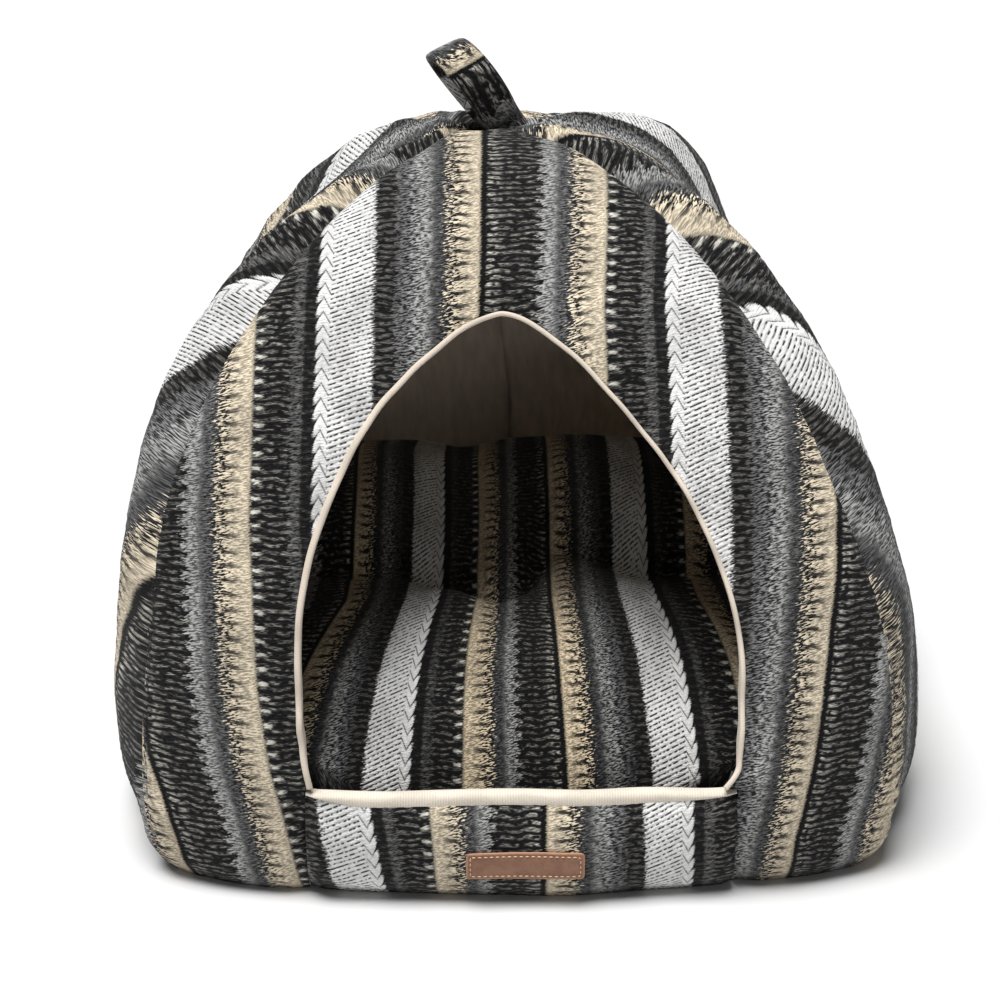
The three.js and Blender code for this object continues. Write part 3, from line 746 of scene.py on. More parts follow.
def knit_group():
    """Node group of the striped knit: colour and height from the cloth's own measure in metres."""
    group = bpy.data.node_groups.get("striped knit")
    if group:
        return group
    group = bpy.data.node_groups.new("striped knit", "ShaderNodeTree")
    group.interface.new_socket("Measure", in_out="INPUT", socket_type="NodeSocketVector")
    group.interface.new_socket("Color", in_out="OUTPUT", socket_type="NodeSocketColor")
    group.interface.new_socket("Height", in_out="OUTPUT", socket_type="NodeSocketFloat")
    n, tones = Nodes(group), cloth()
    u, v, _ = n.split(n.add("NodeGroupInput").outputs[0])
    share = n.fract(n.over(u, tones.repeat))

    # Pile: short slanting hairs, slow patches of tone and a fine grain along the rows
    ahead, aside = math.cos(tones.slant), math.sin(tones.slant)
    lie = n.sum(u, HAIRS_ALONG * ahead, v, HAIRS_ALONG * aside)
    stand = n.sum(u, -HAIRS_ACROSS * aside, v, HAIRS_ACROSS * ahead)
    pile = n.noise(n.point(lie, stand), detail=1.0, roughness=0.6)
    hairs = n.range(pile, 0.41, 0.61)
    patch = n.grain(u, v, 38.0, 30.0, 9.0)
    grain = n.grain(u, v, 330.0, 2300.0, 3.0)
    wander = n.grain(u, v, 110.0, 80.0, 5.0, detail=0.0)

    # Stripe edges: combed teeth every two rows, and loose hairs
    beat = n.fract(n.times_plus(wander, 0.55, n.over(v, 2 * tones.row)))
    comb = n.zigzag(n.times(beat, 2.0))
    teeth, loose, arcs = n.split(n.ramp(share, stripe_levels(EDGE_LEVELS))[0])
    sway = n.times(n.times_plus(comb, TEETH_REACH, -TEETH_REACH / 2), teeth)
    sway = n.times_plus(n.times_plus(pile, HAIR_REACH, -HAIR_REACH / 2), loose, sway)
    place = n.fract(n.over(n.plus(u, sway), tones.repeat))
    base, shade = n.ramp(place, stripe_stops())
    base = n.tint(base, n.times_plus(n.minus(1.0, shade), hairs, shade))
    strokes = n.range(n.times_plus(grain, -1.1, comb), 0.06, 0.26)
    base = n.mix(n.times(strokes, arcs), base, tones.black)

    # Rows of tufts, thin broken lines of knitting and a fringe of pale loops in the dark stripes
    row = n.fract(n.times_plus(wander, 1.1, n.over(v, tones.row)))
    ridge = n.zigzag(n.times(row, 2.0))
    broken = n.grain(u, v, 230.0, 330.0, 7.0)
    tuft_level, line_level, fringe_level = n.split(n.ramp(place, stripe_levels(CREAM_LEVELS))[0])
    tufts = n.times(n.times(n.range(ridge, 0.22, 0.66), n.range(broken, 0.36, 0.56)), tuft_level)
    tufts = n.times(tufts, n.range(grain, 0.40, 0.58, 0.15, 1.0))
    lines = n.times(n.times(n.range(ridge, 0.28, 0.80), n.range(broken, 0.36, 0.60)), line_level)
    lines = n.times(lines, n.range(grain, 0.42, 0.60, 0.06, 1.0))
    fringe = n.times(n.range(n.times_plus(pile, 0.5, comb), 0.85, 1.1), fringe_level)
    dashes = n.highest(n.highest(tufts, lines), n.times(fringe, 0.9))
    cream = [white * tint for white, tint in zip(tones.white, CREAM_TINT)]
    colour = n.mix(dashes, base, n.tint(cream, n.times_plus(hairs, 0.25, 0.72)))

    # White ribs: a braided edge of leaning loops, then long strands that rise away from it
    off = n.times(n.minus(share, stripe_start("white ribs")), tones.repeat)
    rise = n.times(n.lowest(off, RIB_LOOP), 1.6)
    fall = n.times(n.lowest(n.highest(n.minus(off, RIB_LOOP), 0.0), RIB_TURN - RIB_LOOP), -1.9)
    away = n.times(n.highest(n.minus(off, RIB_TURN), 0.0), 0.44)
    lift = n.minus(v, n.plus(n.plus(rise, fall), away))
    strands = n.times(lift, 3 / tones.rib)
    strand = n.off_middle(strands)
    braid = n.off_middle(n.over(lift, tones.rib))
    far = n.range(off, RIB_TURN - 0.5 * MM, RIB_TURN + 0.3 * MM)
    parted = n.noise(n.point(n.times(off, 620.0), n.times(n.math("ROUND", strands), 5.3), 2.0), detail=0.0)
    between = n.times(n.range(strand, 0.38, 0.92), n.range(parted, 0.36, 0.60, 0.12, 1.0))
    parting = n.times(n.range(braid, 0.66, 0.98, 0.0, 0.85), n.range(grain, 0.36, 0.56, 0.35, 1.0))
    hollow = n.times_plus(n.minus(between, parting), far, parting)
    white = n.tint(tones.white, n.times_plus(hairs, 0.16, 0.84))
    white = n.mix(hollow, white, [0.6 * value for value in tones.black])
    bow = n.math("SQRT", n.math("SUBTRACT", 1.0, n.times(braid, braid), clamp=True))
    scallop = n.times_plus(grain, 3 * MM, n.times_plus(bow, -2.6 * MM, 1.1 * MM))
    left = n.range(n.minus(off, scallop), -0.4 * MM, 0.5 * MM)
    ragged = n.times_plus(pile, 7 * MM, RIB_WIDTH - 3.5 * MM)
    right = n.range(n.minus(ragged, off), -0.7 * MM, 0.9 * MM)
    ribs = n.times(left, right)
    colour = n.tint(n.mix(ribs, colour, white), n.vary(patch, 0.86, 1.12))

    # Height: pile, raised dashes and round strands
    height = n.times_plus(pile, 0.55, n.times(dashes, 0.35))
    round_strand = n.minus(1.0, n.times(strand, strand))
    round_loop = n.minus(1.15, n.times(braid, braid))
    cord = n.times_plus(n.minus(round_strand, round_loop), far, round_loop)
    height = n.times_plus(n.times_plus(cord, 0.42, 0.12), ribs, height)
    out = n.add("NodeGroupOutput")
    n.feed(out.inputs["Color"], colour)
    n.feed(out.inputs["Height"], height)
    return group


def new_material(name):
    """A new material, its nodes and its shader."""
    material = bpy.data.materials.new(name)
    material.use_nodes = True
    return material, Nodes(material.node_tree), material.node_tree.nodes["Principled BSDF"]


def dress(n, shader, colour, roughness, height, depth, specular=0.5, sheen=0.0):
    """Give a shader its colour, roughness, relief and gloss."""
    n.feed(shader.inputs["Base Color"], colour)
    n.feed(shader.inputs["Roughness"], roughness)
    shader.inputs["Specular IOR Level"].default_value = specular
    shader.inputs["Sheen Weight"].default_value = sheen
    bump = n.add("ShaderNodeBump")
    bump.inputs["Distance"].default_value = depth
    bump.inputs["Strength"].default_value = 1.0
    n.feed(bump.inputs["Height"], height)
    n.feed(shader.inputs["Normal"], bump.outputs[0])


def striped_material(name="striped knit", deep=1.0, tone=1.0):
    """Brushed striped knit, or a copy of it that deep and tone make darker, which is painted shade."""
    material = bpy.data.materials.get(name)
    if material:
        return material
    material, n, shader = new_material(name)
    knit = n.add("ShaderNodeGroup", node_tree=knit_group())
    n.feed(knit.inputs["Measure"], n.add("ShaderNodeUVMap", uv_map="cloth").outputs[0])
    colour = n.add("ShaderNodeGamma")
    n.feed(colour.inputs["Color"], knit.outputs["Color"])
    n.feed(colour.inputs["Gamma"], deep)
    height = knit.outputs["Height"]
    roughness = n.range(height, 0.0, 1.0, 0.98, 0.86)
    dress(n, shader, n.tint(colour.outputs[0], tone), roughness, height, 1.3 * MM, 0.12, 0.05)
    shader.inputs["Sheen Roughness"].default_value = 0.6
    return material


def tape_material(name, colour, ribbed):
    """Woven tape with fine ribs across it."""
    material, n, shader = new_material(name)
    u, v = n.measure()
    rib = n.zigzag(n.times(u, 1 / TAPE_RIB))
    hair = n.grain(u, v, 900.0, 2200.0, detail=2.0)
    patch = n.grain(u, v, 60.0, 160.0, 4.0, detail=2.0)
    tone = n.times(n.range(rib, 0.0, 0.8, 1.03 - 0.17 * ribbed, 1.03), n.vary(hair, 0.93, 1.05))
    tone = n.times(tone, n.vary(patch, 0.90, 1.06))
    height = n.times_plus(rib, ribbed, n.times(hair, 0.25))
    dress(n, shader, n.tint(colour, tone), n.vary(hair, 0.72, 0.88), height, 0.22 * MM, 0.3, 0.15)
    return material


def lining_material():
    """Plain matt weave."""
    material, n, shader = new_material("plain lining")
    u, v = n.measure()
    warp, weft = (n.math("SINE", n.times(axis, 2 * math.pi / LINING_THREAD)) for axis in (u, v))
    weave = n.times_plus(n.times(warp, weft), 0.5, 0.5)
    slub = n.grain(u, v, 220.0, 45.0, detail=3.0, roughness=0.6)
    patch = n.grain(u, v, 14.0, 14.0, 2.0, detail=2.0)
    tone = n.times(n.range(weave, 0.0, 1.0, 0.90, 1.05), n.vary(slub, 0.90, 1.08))
    tone = n.times(tone, n.vary(patch, 0.92, 1.06))
    height = n.times_plus(slub, 0.5, weave)
    dress(n, shader, n.tint(cloth().lining, tone), n.vary(slub, 0.84, 0.95), height, 0.25 * MM, 0.2)
    return material


def leather_material():
    """Satin grained leather, rubbed paler along its cut edge."""
    material, n, shader = new_material("tag leather")
    x, y = n.measure()
    grain = n.grain(x, y, 900.0, 900.0, detail=4.0, roughness=0.65)
    cloud = n.grain(x, y, 110.0, 130.0, 3.0, detail=3.0)
    rim = n.lowest(*(n.minus(half, n.math("ABSOLUTE", axis)) for half, axis in zip(TAG_HALF, (x, y))))
    worn = n.range(n.times_plus(n.minus(cloud, 0.5), 1.6 * MM, rim), 0.1 * MM, 1.4 * MM, 0.85, 0.0)
    base = n.mix(n.range(cloud, 0.32, 0.70, 0.0, 0.30), cloth().leather, cloth().leather_edge)
    base = n.tint(n.mix(worn, base, cloth().leather_edge), n.vary(grain, 0.85, 1.10))
    dress(n, shader, base, n.vary(grain, 0.42, 0.62), grain, 0.18 * MM, 0.45)
    return material


def thread_material():
    """Waxed sewing thread."""
    material, n, shader = new_material("tag thread")
    strand = n.noise(n.object_place(), scale=2600.0, detail=2.0)
    colour = n.tint(cloth().thread, n.vary(strand, 0.8, 1.1))
    dress(n, shader, colour, n.vary(strand, 0.5, 0.7), strand, 0.1 * MM)
    return material


def under_material():
    """Plain dark felted cloth."""
    material, n, shader = new_material("plain underside")
    under = cloth().under
    felt = n.noise(n.object_place(), scale=900.0, detail=3.0, roughness=0.6)
    dots = n.noise(n.object_place(), scale=60.0, detail=2.0)
    base = n.mix(n.range(dots, 0.35, 0.7), under, [1.5 * value for value in under])
    dress(n, shader, n.tint(base, n.vary(felt, 0.75, 1.25)), n.vary(felt, 0.85, 0.97), felt, 0.3 * MM)
    return material


def floor_material():
    """Pale matt floor."""
    material, n, shader = new_material("pale floor")
    cloud = n.noise(n.object_place(), scale=3.0, detail=1.0)
    floor = bpy.context.scene.bed_stage.floor
    n.feed(shader.inputs["Base Color"], n.tint(floor, n.vary(cloud, 0.995, 1.0)))
    shader.inputs["Roughness"].default_value = 0.9
    shader.inputs["Specular IOR Level"].default_value = 0.1
    return material


# Where the stripes lie on the front, in millimetres:
# height, width of a repeat left and right of the thin line, its place
FRONT_STRIPES = np.array([
    (0, 154.5, 143, -8.5), (30, 162, 144.5, -8.5), (53, 168, 149, -8.9), (73, 174, 152.5, -9.4),
    (94, 174.5, 156, -10.6), (114, 175, 159, -11.8), (139, 173.5, 163.5, -13.3), (162, 173, 169, -14.8),
    (195, 173.5, 172.5, -16.9), (245, 170, 170, -17.7), (282, 167, 167, -18.1), (292, 167, 167, -17.2),
    (307, 168, 168, -16.1), (323, 170, 170, -15.5), (342, 171, 171, -14.7),
]) * MM
# Width of a repeat and place of the thin line on the other walls
SIDE_REPEAT = 173 * MM
SIDE_LINE = {RIGHT: 30 * MM, BACK: -10 * MM, LEFT: 15.5 * MM}
# On the side walls the stripes fan out towards the foot: height, measure at the seam of each wall
SIDE_FAN = np.array([
    (0, 199, 187, 228), (44, 197, 187, 222), (78, 194, 187, 214), (111, 190, 186, 205),
    (144, 187, 181, 195), (160, 184, 178, 189), (178, 178, 172, 176), (211, 166, 160, 164),
    (243, 150, 145, 150), (270, 132, 127, 132), (295, 104, 104, 104), (316, 81, 81, 81),
    (331, 56, 56, 56), (338, 30, 30, 30), (339, 10, 10, 10),
]) * MM
# How the stripes spread from a side wall's middle to its seams:
# place, share at the foot, share on the shoulders
SIDE_SPREAD = np.array([(0, 0, 0), (0.3, 0.36, 0.30), (0.6, 0.70, 0.59), (0.85, 0.92, 0.82), (1, 1, 1)])
# Heights between which the first of the two goes over into the second
SPREAD_FROM, SPREAD_TO = {RIGHT: 165 * MM, LEFT: 205 * MM}, 262 * MM
# How much wider the stripes of a wall's shoulders lie behind its ridge
REAR_SPREAD = {RIGHT: 1.18, LEFT: 0.88}
# Width of a repeat and place of the thin line on the lip
LIP_REPEAT, LIP_LINE = 155 * MM, 11 * MM
# Where the stripes lie on the cushion, as on the front but by the distance behind its middle
CUSHION_STRIPES = np.array([
    (-204, 146, 141, 21.5), (-150, 128, 132, 19), (-100, 107, 120, 16.4), (-60, 106, 117, 16.5),
    (30, 106, 114, 17.4), (200, 106, 114, 17.4),
]) * MM


def stripe_measure(across, repeat, line):
    """The cloth's measure across its stripes at a distance across a piece."""
    own = cloth().repeat
    return (across - line) / repeat * own + LINE_MIDDLE * own + ACROSS_FROM * own


def stripe_table(table, across, along):
    """Width of a repeat and place of the thin line from a table, at a place on a piece."""
    left, right, line = (np.interp(along, table[:, 0], table[:, column]) for column in (1, 2, 3))
    return np.where(across < line, left, right), line


# At a seam: spacing of the folds, how far they reach, where they begin and half the width of the crease
FOLD_PITCH, FOLD_REACH, FOLD_START, CREASE_HALF = 31 * MM, 20 * MM, 5 * MM, 3.8 * MM


def seam_relief(gap, along, seed):
    """How a wall stands off its plain shape near a seam: a crease, and folds that run off it."""
    form = shape()
    fold = np.sin(2 * math.pi * along / FOLD_PITCH + 2.2 * waves(along, gap, 0.16, seed))
    folds = form.pucker * fold * np.exp(-gap / FOLD_REACH) * (1 - bell(gap, FOLD_START))
    return folds - form.seam_drop * bell(gap, CREASE_HALF)


# Two lobes of a wall with a dent between them: where the back lobe, the dent and the front lobe lie and
# how wide they are, then by the share of the wall's height how many millimetres each stands off it
LOBE_PLACES = ((-0.66, 0.26), (0.05, 0.40), (0.86, 0.16))
LOBE_AT = (0, 0.06, 0.15, 0.3, 0.45, 0.52, 0.58, 0.645, 0.71, 0.78, 0.86, 0.93, 1)
LOBES = {
    RIGHT: ((0, -2, 0, 0, -5, -8, -9, -2, 5, 7, 0, -4, 0),
            (0, -4, -6, -7, -9, -11, -13, -14, -13, -12, -11, -7, 0),
            (0, -9, -5, 2, 11, 15, 16, 15, 13, 8, 3, 1, 0)),
    BACK: ((0, 1, 2, 2, 2, 2, 2, 1, 0, -2, -4, -4, 0),
           (0, -1, -3, -3, -3, -3, -4, -4, -5, -6, -8, -7, 0),
           (0, 1, 2, 2, 2, 2, 2, 1, 0, -2, -4, -4, 0)),
    LEFT: ((0, 0, 1, 0, -8, -13, -18, -18, -13, -7, -3, -2, 0),
           (0, -3, -6, -8, -14, -16, -19, -22, -20, -16, -12, -6, 0),
           (0, -7, 1, 4, 9, 12, 14, 15, 14, 8, 2, 0, 0)),
}


def lobes(side, s, t):
    """Two soft lobes with a dent between them on a side or back wall."""
    if side not in LOBES:
        return 0.0
    forward = -s if side == RIGHT else s
    relief = 0.0
    for stand, (at, width) in zip(LOBES[side], LOBE_PLACES):
        relief = relief + np.interp(t, LOBE_AT, stand) * MM * bell(forward - at, width)
    return relief * (1 - np.abs(s) ** 12)


def wall_relief(side, s, t, across, seed):
    """Unevenness of a padded wall."""
    gap = (1 - np.abs(s)) * seam_reach(t)
    along = climb(t)
    soft = shape().swell * waves(across, along, 0.105, seed) * (1 - bell(gap, 30 * MM))
    return soft + lobes(side, s, t) + seam_relief(gap, along + np.sign(s), seed + 40)


# Round the mouth: count and reach of the folds, depth and width of the hollow along the tape
RIM_FOLDS, RIM_FOLD_REACH, RIM_DROP, RIM_WIDTH = 24, 18 * MM, 3.4 * MM, 8.5 * MM
# Half the share of the front's outer rim that lies at the peak
PEAK_HALF = 0.012


def front_rims():
    """The front panel's inner rim round the mouth and its outer rim along the seams, as s and t by share."""
    shares = np.linspace(0, 1, 700)
    edge = mouth_edge(shares)
    inner = np.stack(front_place(edge[:, 0], edge[:, 1]), -1)
    corners = np.array([(-1, 0), (-1, 1), (1, 1), (1, 0)])
    outer = rows_at(shares, [0, 0.5 - PEAK_HALF, 0.5 + PEAK_HALF, 1], corners)
    return shares, inner, outer


def front_skin(share, out):
    """Points, s and t of the dressed front panel at a share round the mouth and a share out from it."""
    shares, inner, outer = front_rims()
    rim = rows_at(share, shares, inner)
    s, t = (rim * (1 - out)[:, None] + rows_at(share, shares, outer) * out[:, None]).T
    plain = dome(FRONT, s, t)
    gap = np.linalg.norm(plain - dome(FRONT, rim[:, 0], rim[:, 1]), axis=-1)
    relief = wall_relief(FRONT, s, t, plain[:, 0], 11)
    fold = np.sin(share * 2 * math.pi * RIM_FOLDS + 2 * waves(share, out, 0.3, 5))
    relief = relief + 0.7 * shape().pucker * fold * np.exp(-gap / RIM_FOLD_REACH)
    return dome(FRONT, s, t, relief - RIM_DROP * bell(gap, RIM_WIDTH)), s, t


# Operators


class BedOperator:
    """What the bed's operators share."""
    bl_options = {"REGISTER", "UNDO"}

    @classmethod
    def poll(cls, context):
        return context.scene is not None


# Where the two soft lights shine from: above the front and a little to the left, then low and to the right
KEY_FROM, FILL_FROM = (-0.32, -0.36, 1.9), (0.5, -1.8, 0.4)
FLOOR_HALF, SIGHT_END = 60.0, 200.0
SENSOR, CAMERA_SHIFT = 36.0, (-0.014, 0.003)


class PETBED_OT_stage(BedOperator, bpy.types.Operator):
    """Lay the pale floor, hang the soft lights and set the camera"""
    bl_idname = "petbed.stage"
    bl_label = "Stage"

    def execute(self, context):
        scene, stage = context.scene, context.scene.bed_stage
        bm = bmesh.new()
        bmesh.ops.create_grid(bm, x_segments=1, y_segments=1, size=FLOOR_HALF)
        mesh = to_mesh(bm, "floor")
        mesh.materials.append(floor_material())
        floor = bpy.data.objects.new("floor", mesh)
        scene.collection.objects.link(floor)
        self.add_sun(scene, "key", stage.key, stage.softness, KEY_FROM)
        self.add_sun(scene, "fill", stage.fill, stage.softness, FILL_FROM)
        world = scene.world or bpy.data.worlds.new("room")
        scene.world = world
        world.use_nodes = True
        sky = world.node_tree.nodes["Background"]
        sky.inputs["Color"].default_value = (1.0, 1.0, 1.0, 1.0)
        sky.inputs["Strength"].default_value = stage.sky
        scene.view_settings.view_transform = "Standard"
        self.add_camera(scene, stage)
        return {"FINISHED"}

    def add_sun(self, scene, name, strength, softness, place):
        """A wide soft light that shines from a place towards the bed."""
        light = bpy.data.lights.new(name, "SUN")
        light.energy = strength
        light.angle = softness
        lamp = bpy.data.objects.new(name, light)
        lamp.location = place
        lamp.rotation_euler = (-lamp.location).to_track_quat("-Z", "Y").to_euler()
        scene.collection.objects.link(lamp)

    def add_camera(self, scene, stage):
        data = bpy.data.cameras.new("photo camera")
        data.lens = stage.lens
        data.sensor_width = SENSOR
        data.shift_x, data.shift_y = CAMERA_SHIFT
        data.clip_end = SIGHT_END
        camera = bpy.data.objects.new("photo camera", data)
        level = math.cos(stage.elevation)
        look = Vector((-math.sin(stage.yaw) * level, math.cos(stage.yaw) * level, -math.sin(stage.elevation)))
        camera.location = Vector((0, 0, stage.aim_z)) - look * stage.distance
        camera.rotation_euler = look.to_track_quat("-Z", "Y").to_euler()
        scene.collection.objects.link(camera)
        scene.camera = camera


class PETBED_OT_base(BedOperator, bpy.types.Operator):
    """Cut the flat floor of the bed with a rounded edge"""
    bl_idname = "petbed.base"
    bl_label = "Base"

    def execute(self, context):
        s = np.linspace(-1, 1, 25)[:-1]
        ring = np.vstack([dome(side, s, 0.0, depth=BASE_DEPTH) for side in range(4)])
        bm = bmesh.new()
        corners = [bm.verts.new((x, y, 0.0)) for x, y, _ in ring]
        face = bmesh.ops.contextual_create(bm, geom=corners)["faces"][0]
        raised = bmesh.ops.extrude_face_region(bm, geom=[face])["geom"]
        lifted = [item for item in raised if isinstance(item, bmesh.types.BMVert)]
        bmesh.ops.translate(bm, verts=lifted, vec=(0, 0, BASE_THICK))
        bmesh.ops.recalc_face_normals(bm, faces=bm.faces)
        rims = [edge for edge in bm.edges if abs(edge.verts[0].co.z - edge.verts[1].co.z) < MM]
        bmesh.ops.bevel(
            bm, geom=rims, offset=BASE_ROUND, affect="EDGES", segments=3, profile=0.5, material=-1)
        mesh = to_mesh(bm, "base_cloth")
        mesh.uv_layers.new(name="cloth")
        add_piece(mesh, under_material(), "striped_cloth", "base_board")
        return {"FINISHED"}


class PETBED_OT_walls(BedOperator, bpy.types.Operator):
    """Pad the right, back and left walls"""
    bl_idname = "petbed.walls"
    bl_label = "Side and back walls"

    def execute(self, context):
        for side in (RIGHT, BACK, LEFT):
            mesh = grid(f"{SIDE_NAMES[side]}_wall", 150, 205, lambda a, b: self.place(side, a, b))
            pad(mesh, f"{SIDE_NAMES[side]}_panel")
        return {"FINISHED"}

    def place(self, side, a, b):
        s, t = crowd(a, 0.45), (b + 1) / 2
        across = s * seam_reach(t)
        relief = wall_relief(side, s, t, across, 20 + side) + fuzz(len(s), 60 + side)
        points = dome(side, s, t, relief)
        height = spline(SEAM, t)[:, 1]
        spread, shoulder = rows_at(np.abs(s), SIDE_SPREAD[:, 0], SIDE_SPREAD[:, 1:]).T
        if side in REAR_SPREAD:
            rear = smooth(s if side == RIGHT else -s, 0.05, 0.4)
            shoulder = shoulder * (1 + (REAR_SPREAD[side] - 1) * rear)
            spread = spread + (shoulder - spread) * smooth(height, SPREAD_FROM[side], SPREAD_TO)
        fan = np.sign(s) * spread * np.interp(height, SIDE_FAN[:, 0], SIDE_FAN[:, side])
        u = stripe_measure(-fan if side == RIGHT else fan, SIDE_REPEAT, SIDE_LINE[side])
        u = u + 1.2 * MM * waves(across, climb(t), 0.16, 70 + side)
        v = -climb(t) if side == RIGHT else climb(t)
        return points, np.stack([u, v + ALONG_FROM + 1.1 * MM * waves(across, v, 0.12, 80 + side)], -1)


class PETBED_OT_front(BedOperator, bpy.types.Operator):
    """Pad the front wall round its arched mouth"""
    bl_idname = "petbed.front"
    bl_label = "Front wall"

    def execute(self, context):
        mesh = grid("front_wall", 520, 78, self.place)
        pad(mesh, "front_panel")
        return {"FINISHED"}

    def place(self, a, b):
        share, out = (a + 1) / 2, (b + 1) / 2
        out = out * (1.5 - 0.5 * out)
        points, s, t = front_skin(share, out)
        forward = np.array([0.0, -1.0, 0.3])
        points = points + forward * fuzz(len(s), 61)[:, None]
        x, z = points[:, 0], points[:, 2]
        repeat, line = stripe_table(FRONT_STRIPES, x, z)
        u = stripe_measure(x, repeat, line) + 0.9 * MM * waves(x, z, 0.16, 71)
        return points, np.stack([u, climb(t) + ALONG_FROM + 1.1 * MM * waves(x, z, 0.12, 81)], -1)


def lip_skin(x, z):
    """Points of the dressed lip, drawn in along its top, its foot and its two end seams."""
    plain = lip_face(x, z)
    gap = MOUTH_FOOT - np.abs(x)
    relief = 1.0 * MM * waves(x, z, 0.075, 31) + seam_relief(gap, z + np.sign(x), 33)
    relief = relief - 3.0 * MM * bell(LIP_TOP - z, RIM_WIDTH) - 2.0 * MM * bell(z, 7 * MM)
    relief = relief + 1.6 * MM * np.sin(math.pi * np.clip(z / LIP_TOP, 0, 1))
    plain[..., 1] -= relief
    return plain


class PETBED_OT_lip(BedOperator, bpy.types.Operator):
    """Pad the low lip across the foot of the mouth"""
    bl_idname = "petbed.lip"
    bl_label = "Lip"

    def execute(self, context):
        mesh = grid("lip", 132, 40, self.place)
        pad(mesh, "front_lip")
        return {"FINISHED"}

    def place(self, a, b):
        x, z = crowd(a, 0.3) * (MOUTH_FOOT - 0.3 * MM), (b + 1) / 2 * LIP_TOP
        points = lip_skin(x, z)
        points[:, 1] -= fuzz(len(x), 62)
        tilt = 0.16 * (z - 0.03) * smooth(-x, 0.0, 0.1)
        u = stripe_measure(-(x + tilt), LIP_REPEAT, -LIP_LINE) + 0.7 * MM * waves(x, z, 0.09, 72)
        return points, np.stack([u, ALONG_FROM - z + 0.8 * MM * waves(x, z, 0.09, 82)], -1)


class PETBED_OT_lining(BedOperator, bpy.types.Operator):
    """Hang the two halves of the plain lining, sewn up the back"""
    bl_idname = "petbed.lining"
    bl_label = "Lining"

    def execute(self, context):
        material = lining_material()
        for name, sign in (("left", -1), ("right", 1)):
            mesh = grid(f"{name}_lining", 120, 70, lambda a, b: self.place(sign, a, b))
            lining = add_piece(mesh, material, "plain_lining", f"lining_{name}")
            thicken(lining, LINING_THICK)
        return {"FINISHED"}

    def place(self, sign, a, b):
        """From the back seam round one side to the mouth's edge, seen from inside."""
        low = rise_at(LINING_FOOT)
        t = low + (1 - low) * (b + 1) / 2
        turn = (a + 1) / 2 * (2.0 - self.mouth_ends(sign, t) / 2)
        slack = 1.2 * MM * waves(turn * 0.3, climb(t), 0.10, 90 + sign)
        points = np.zeros((len(t), 3))
        for count, side in enumerate((BACK, LEFT if sign < 0 else RIGHT, FRONT)):
            s = np.clip(-2 * sign * (turn - count), -1, 1)
            stand = np.minimum(0.0, lobes(side, s, t) + 4 * MM) - slack
            here = (turn + 0.5).astype(int) == count
            points[here] = dome(side, s, t, stand, depth=LINING_DEPTH)[here]
        return points, np.stack([sign * turn * PANEL_WIDTH, climb(t)], -1)

    def mouth_ends(self, sign, t):
        """Share of half the front panel at which one half of the lining stops, by height."""
        shares, inner, _ = front_rims()
        half = len(shares) // 2
        rim = inner[:half] * (-1, 1) if sign < 0 else inner[:half - 1:-1]
        heights = np.linspace(0, rim[:, 1].max() + LINING_LAP, 240)
        near = np.abs(heights[:, None] - rim[:, 1]) < LINING_LAP
        reach = np.where(near, rim[:, 0], 0.0).max(1) + LINING_LAP
        return np.where(t > heights[-1], 0.0, np.interp(t, heights, reach))


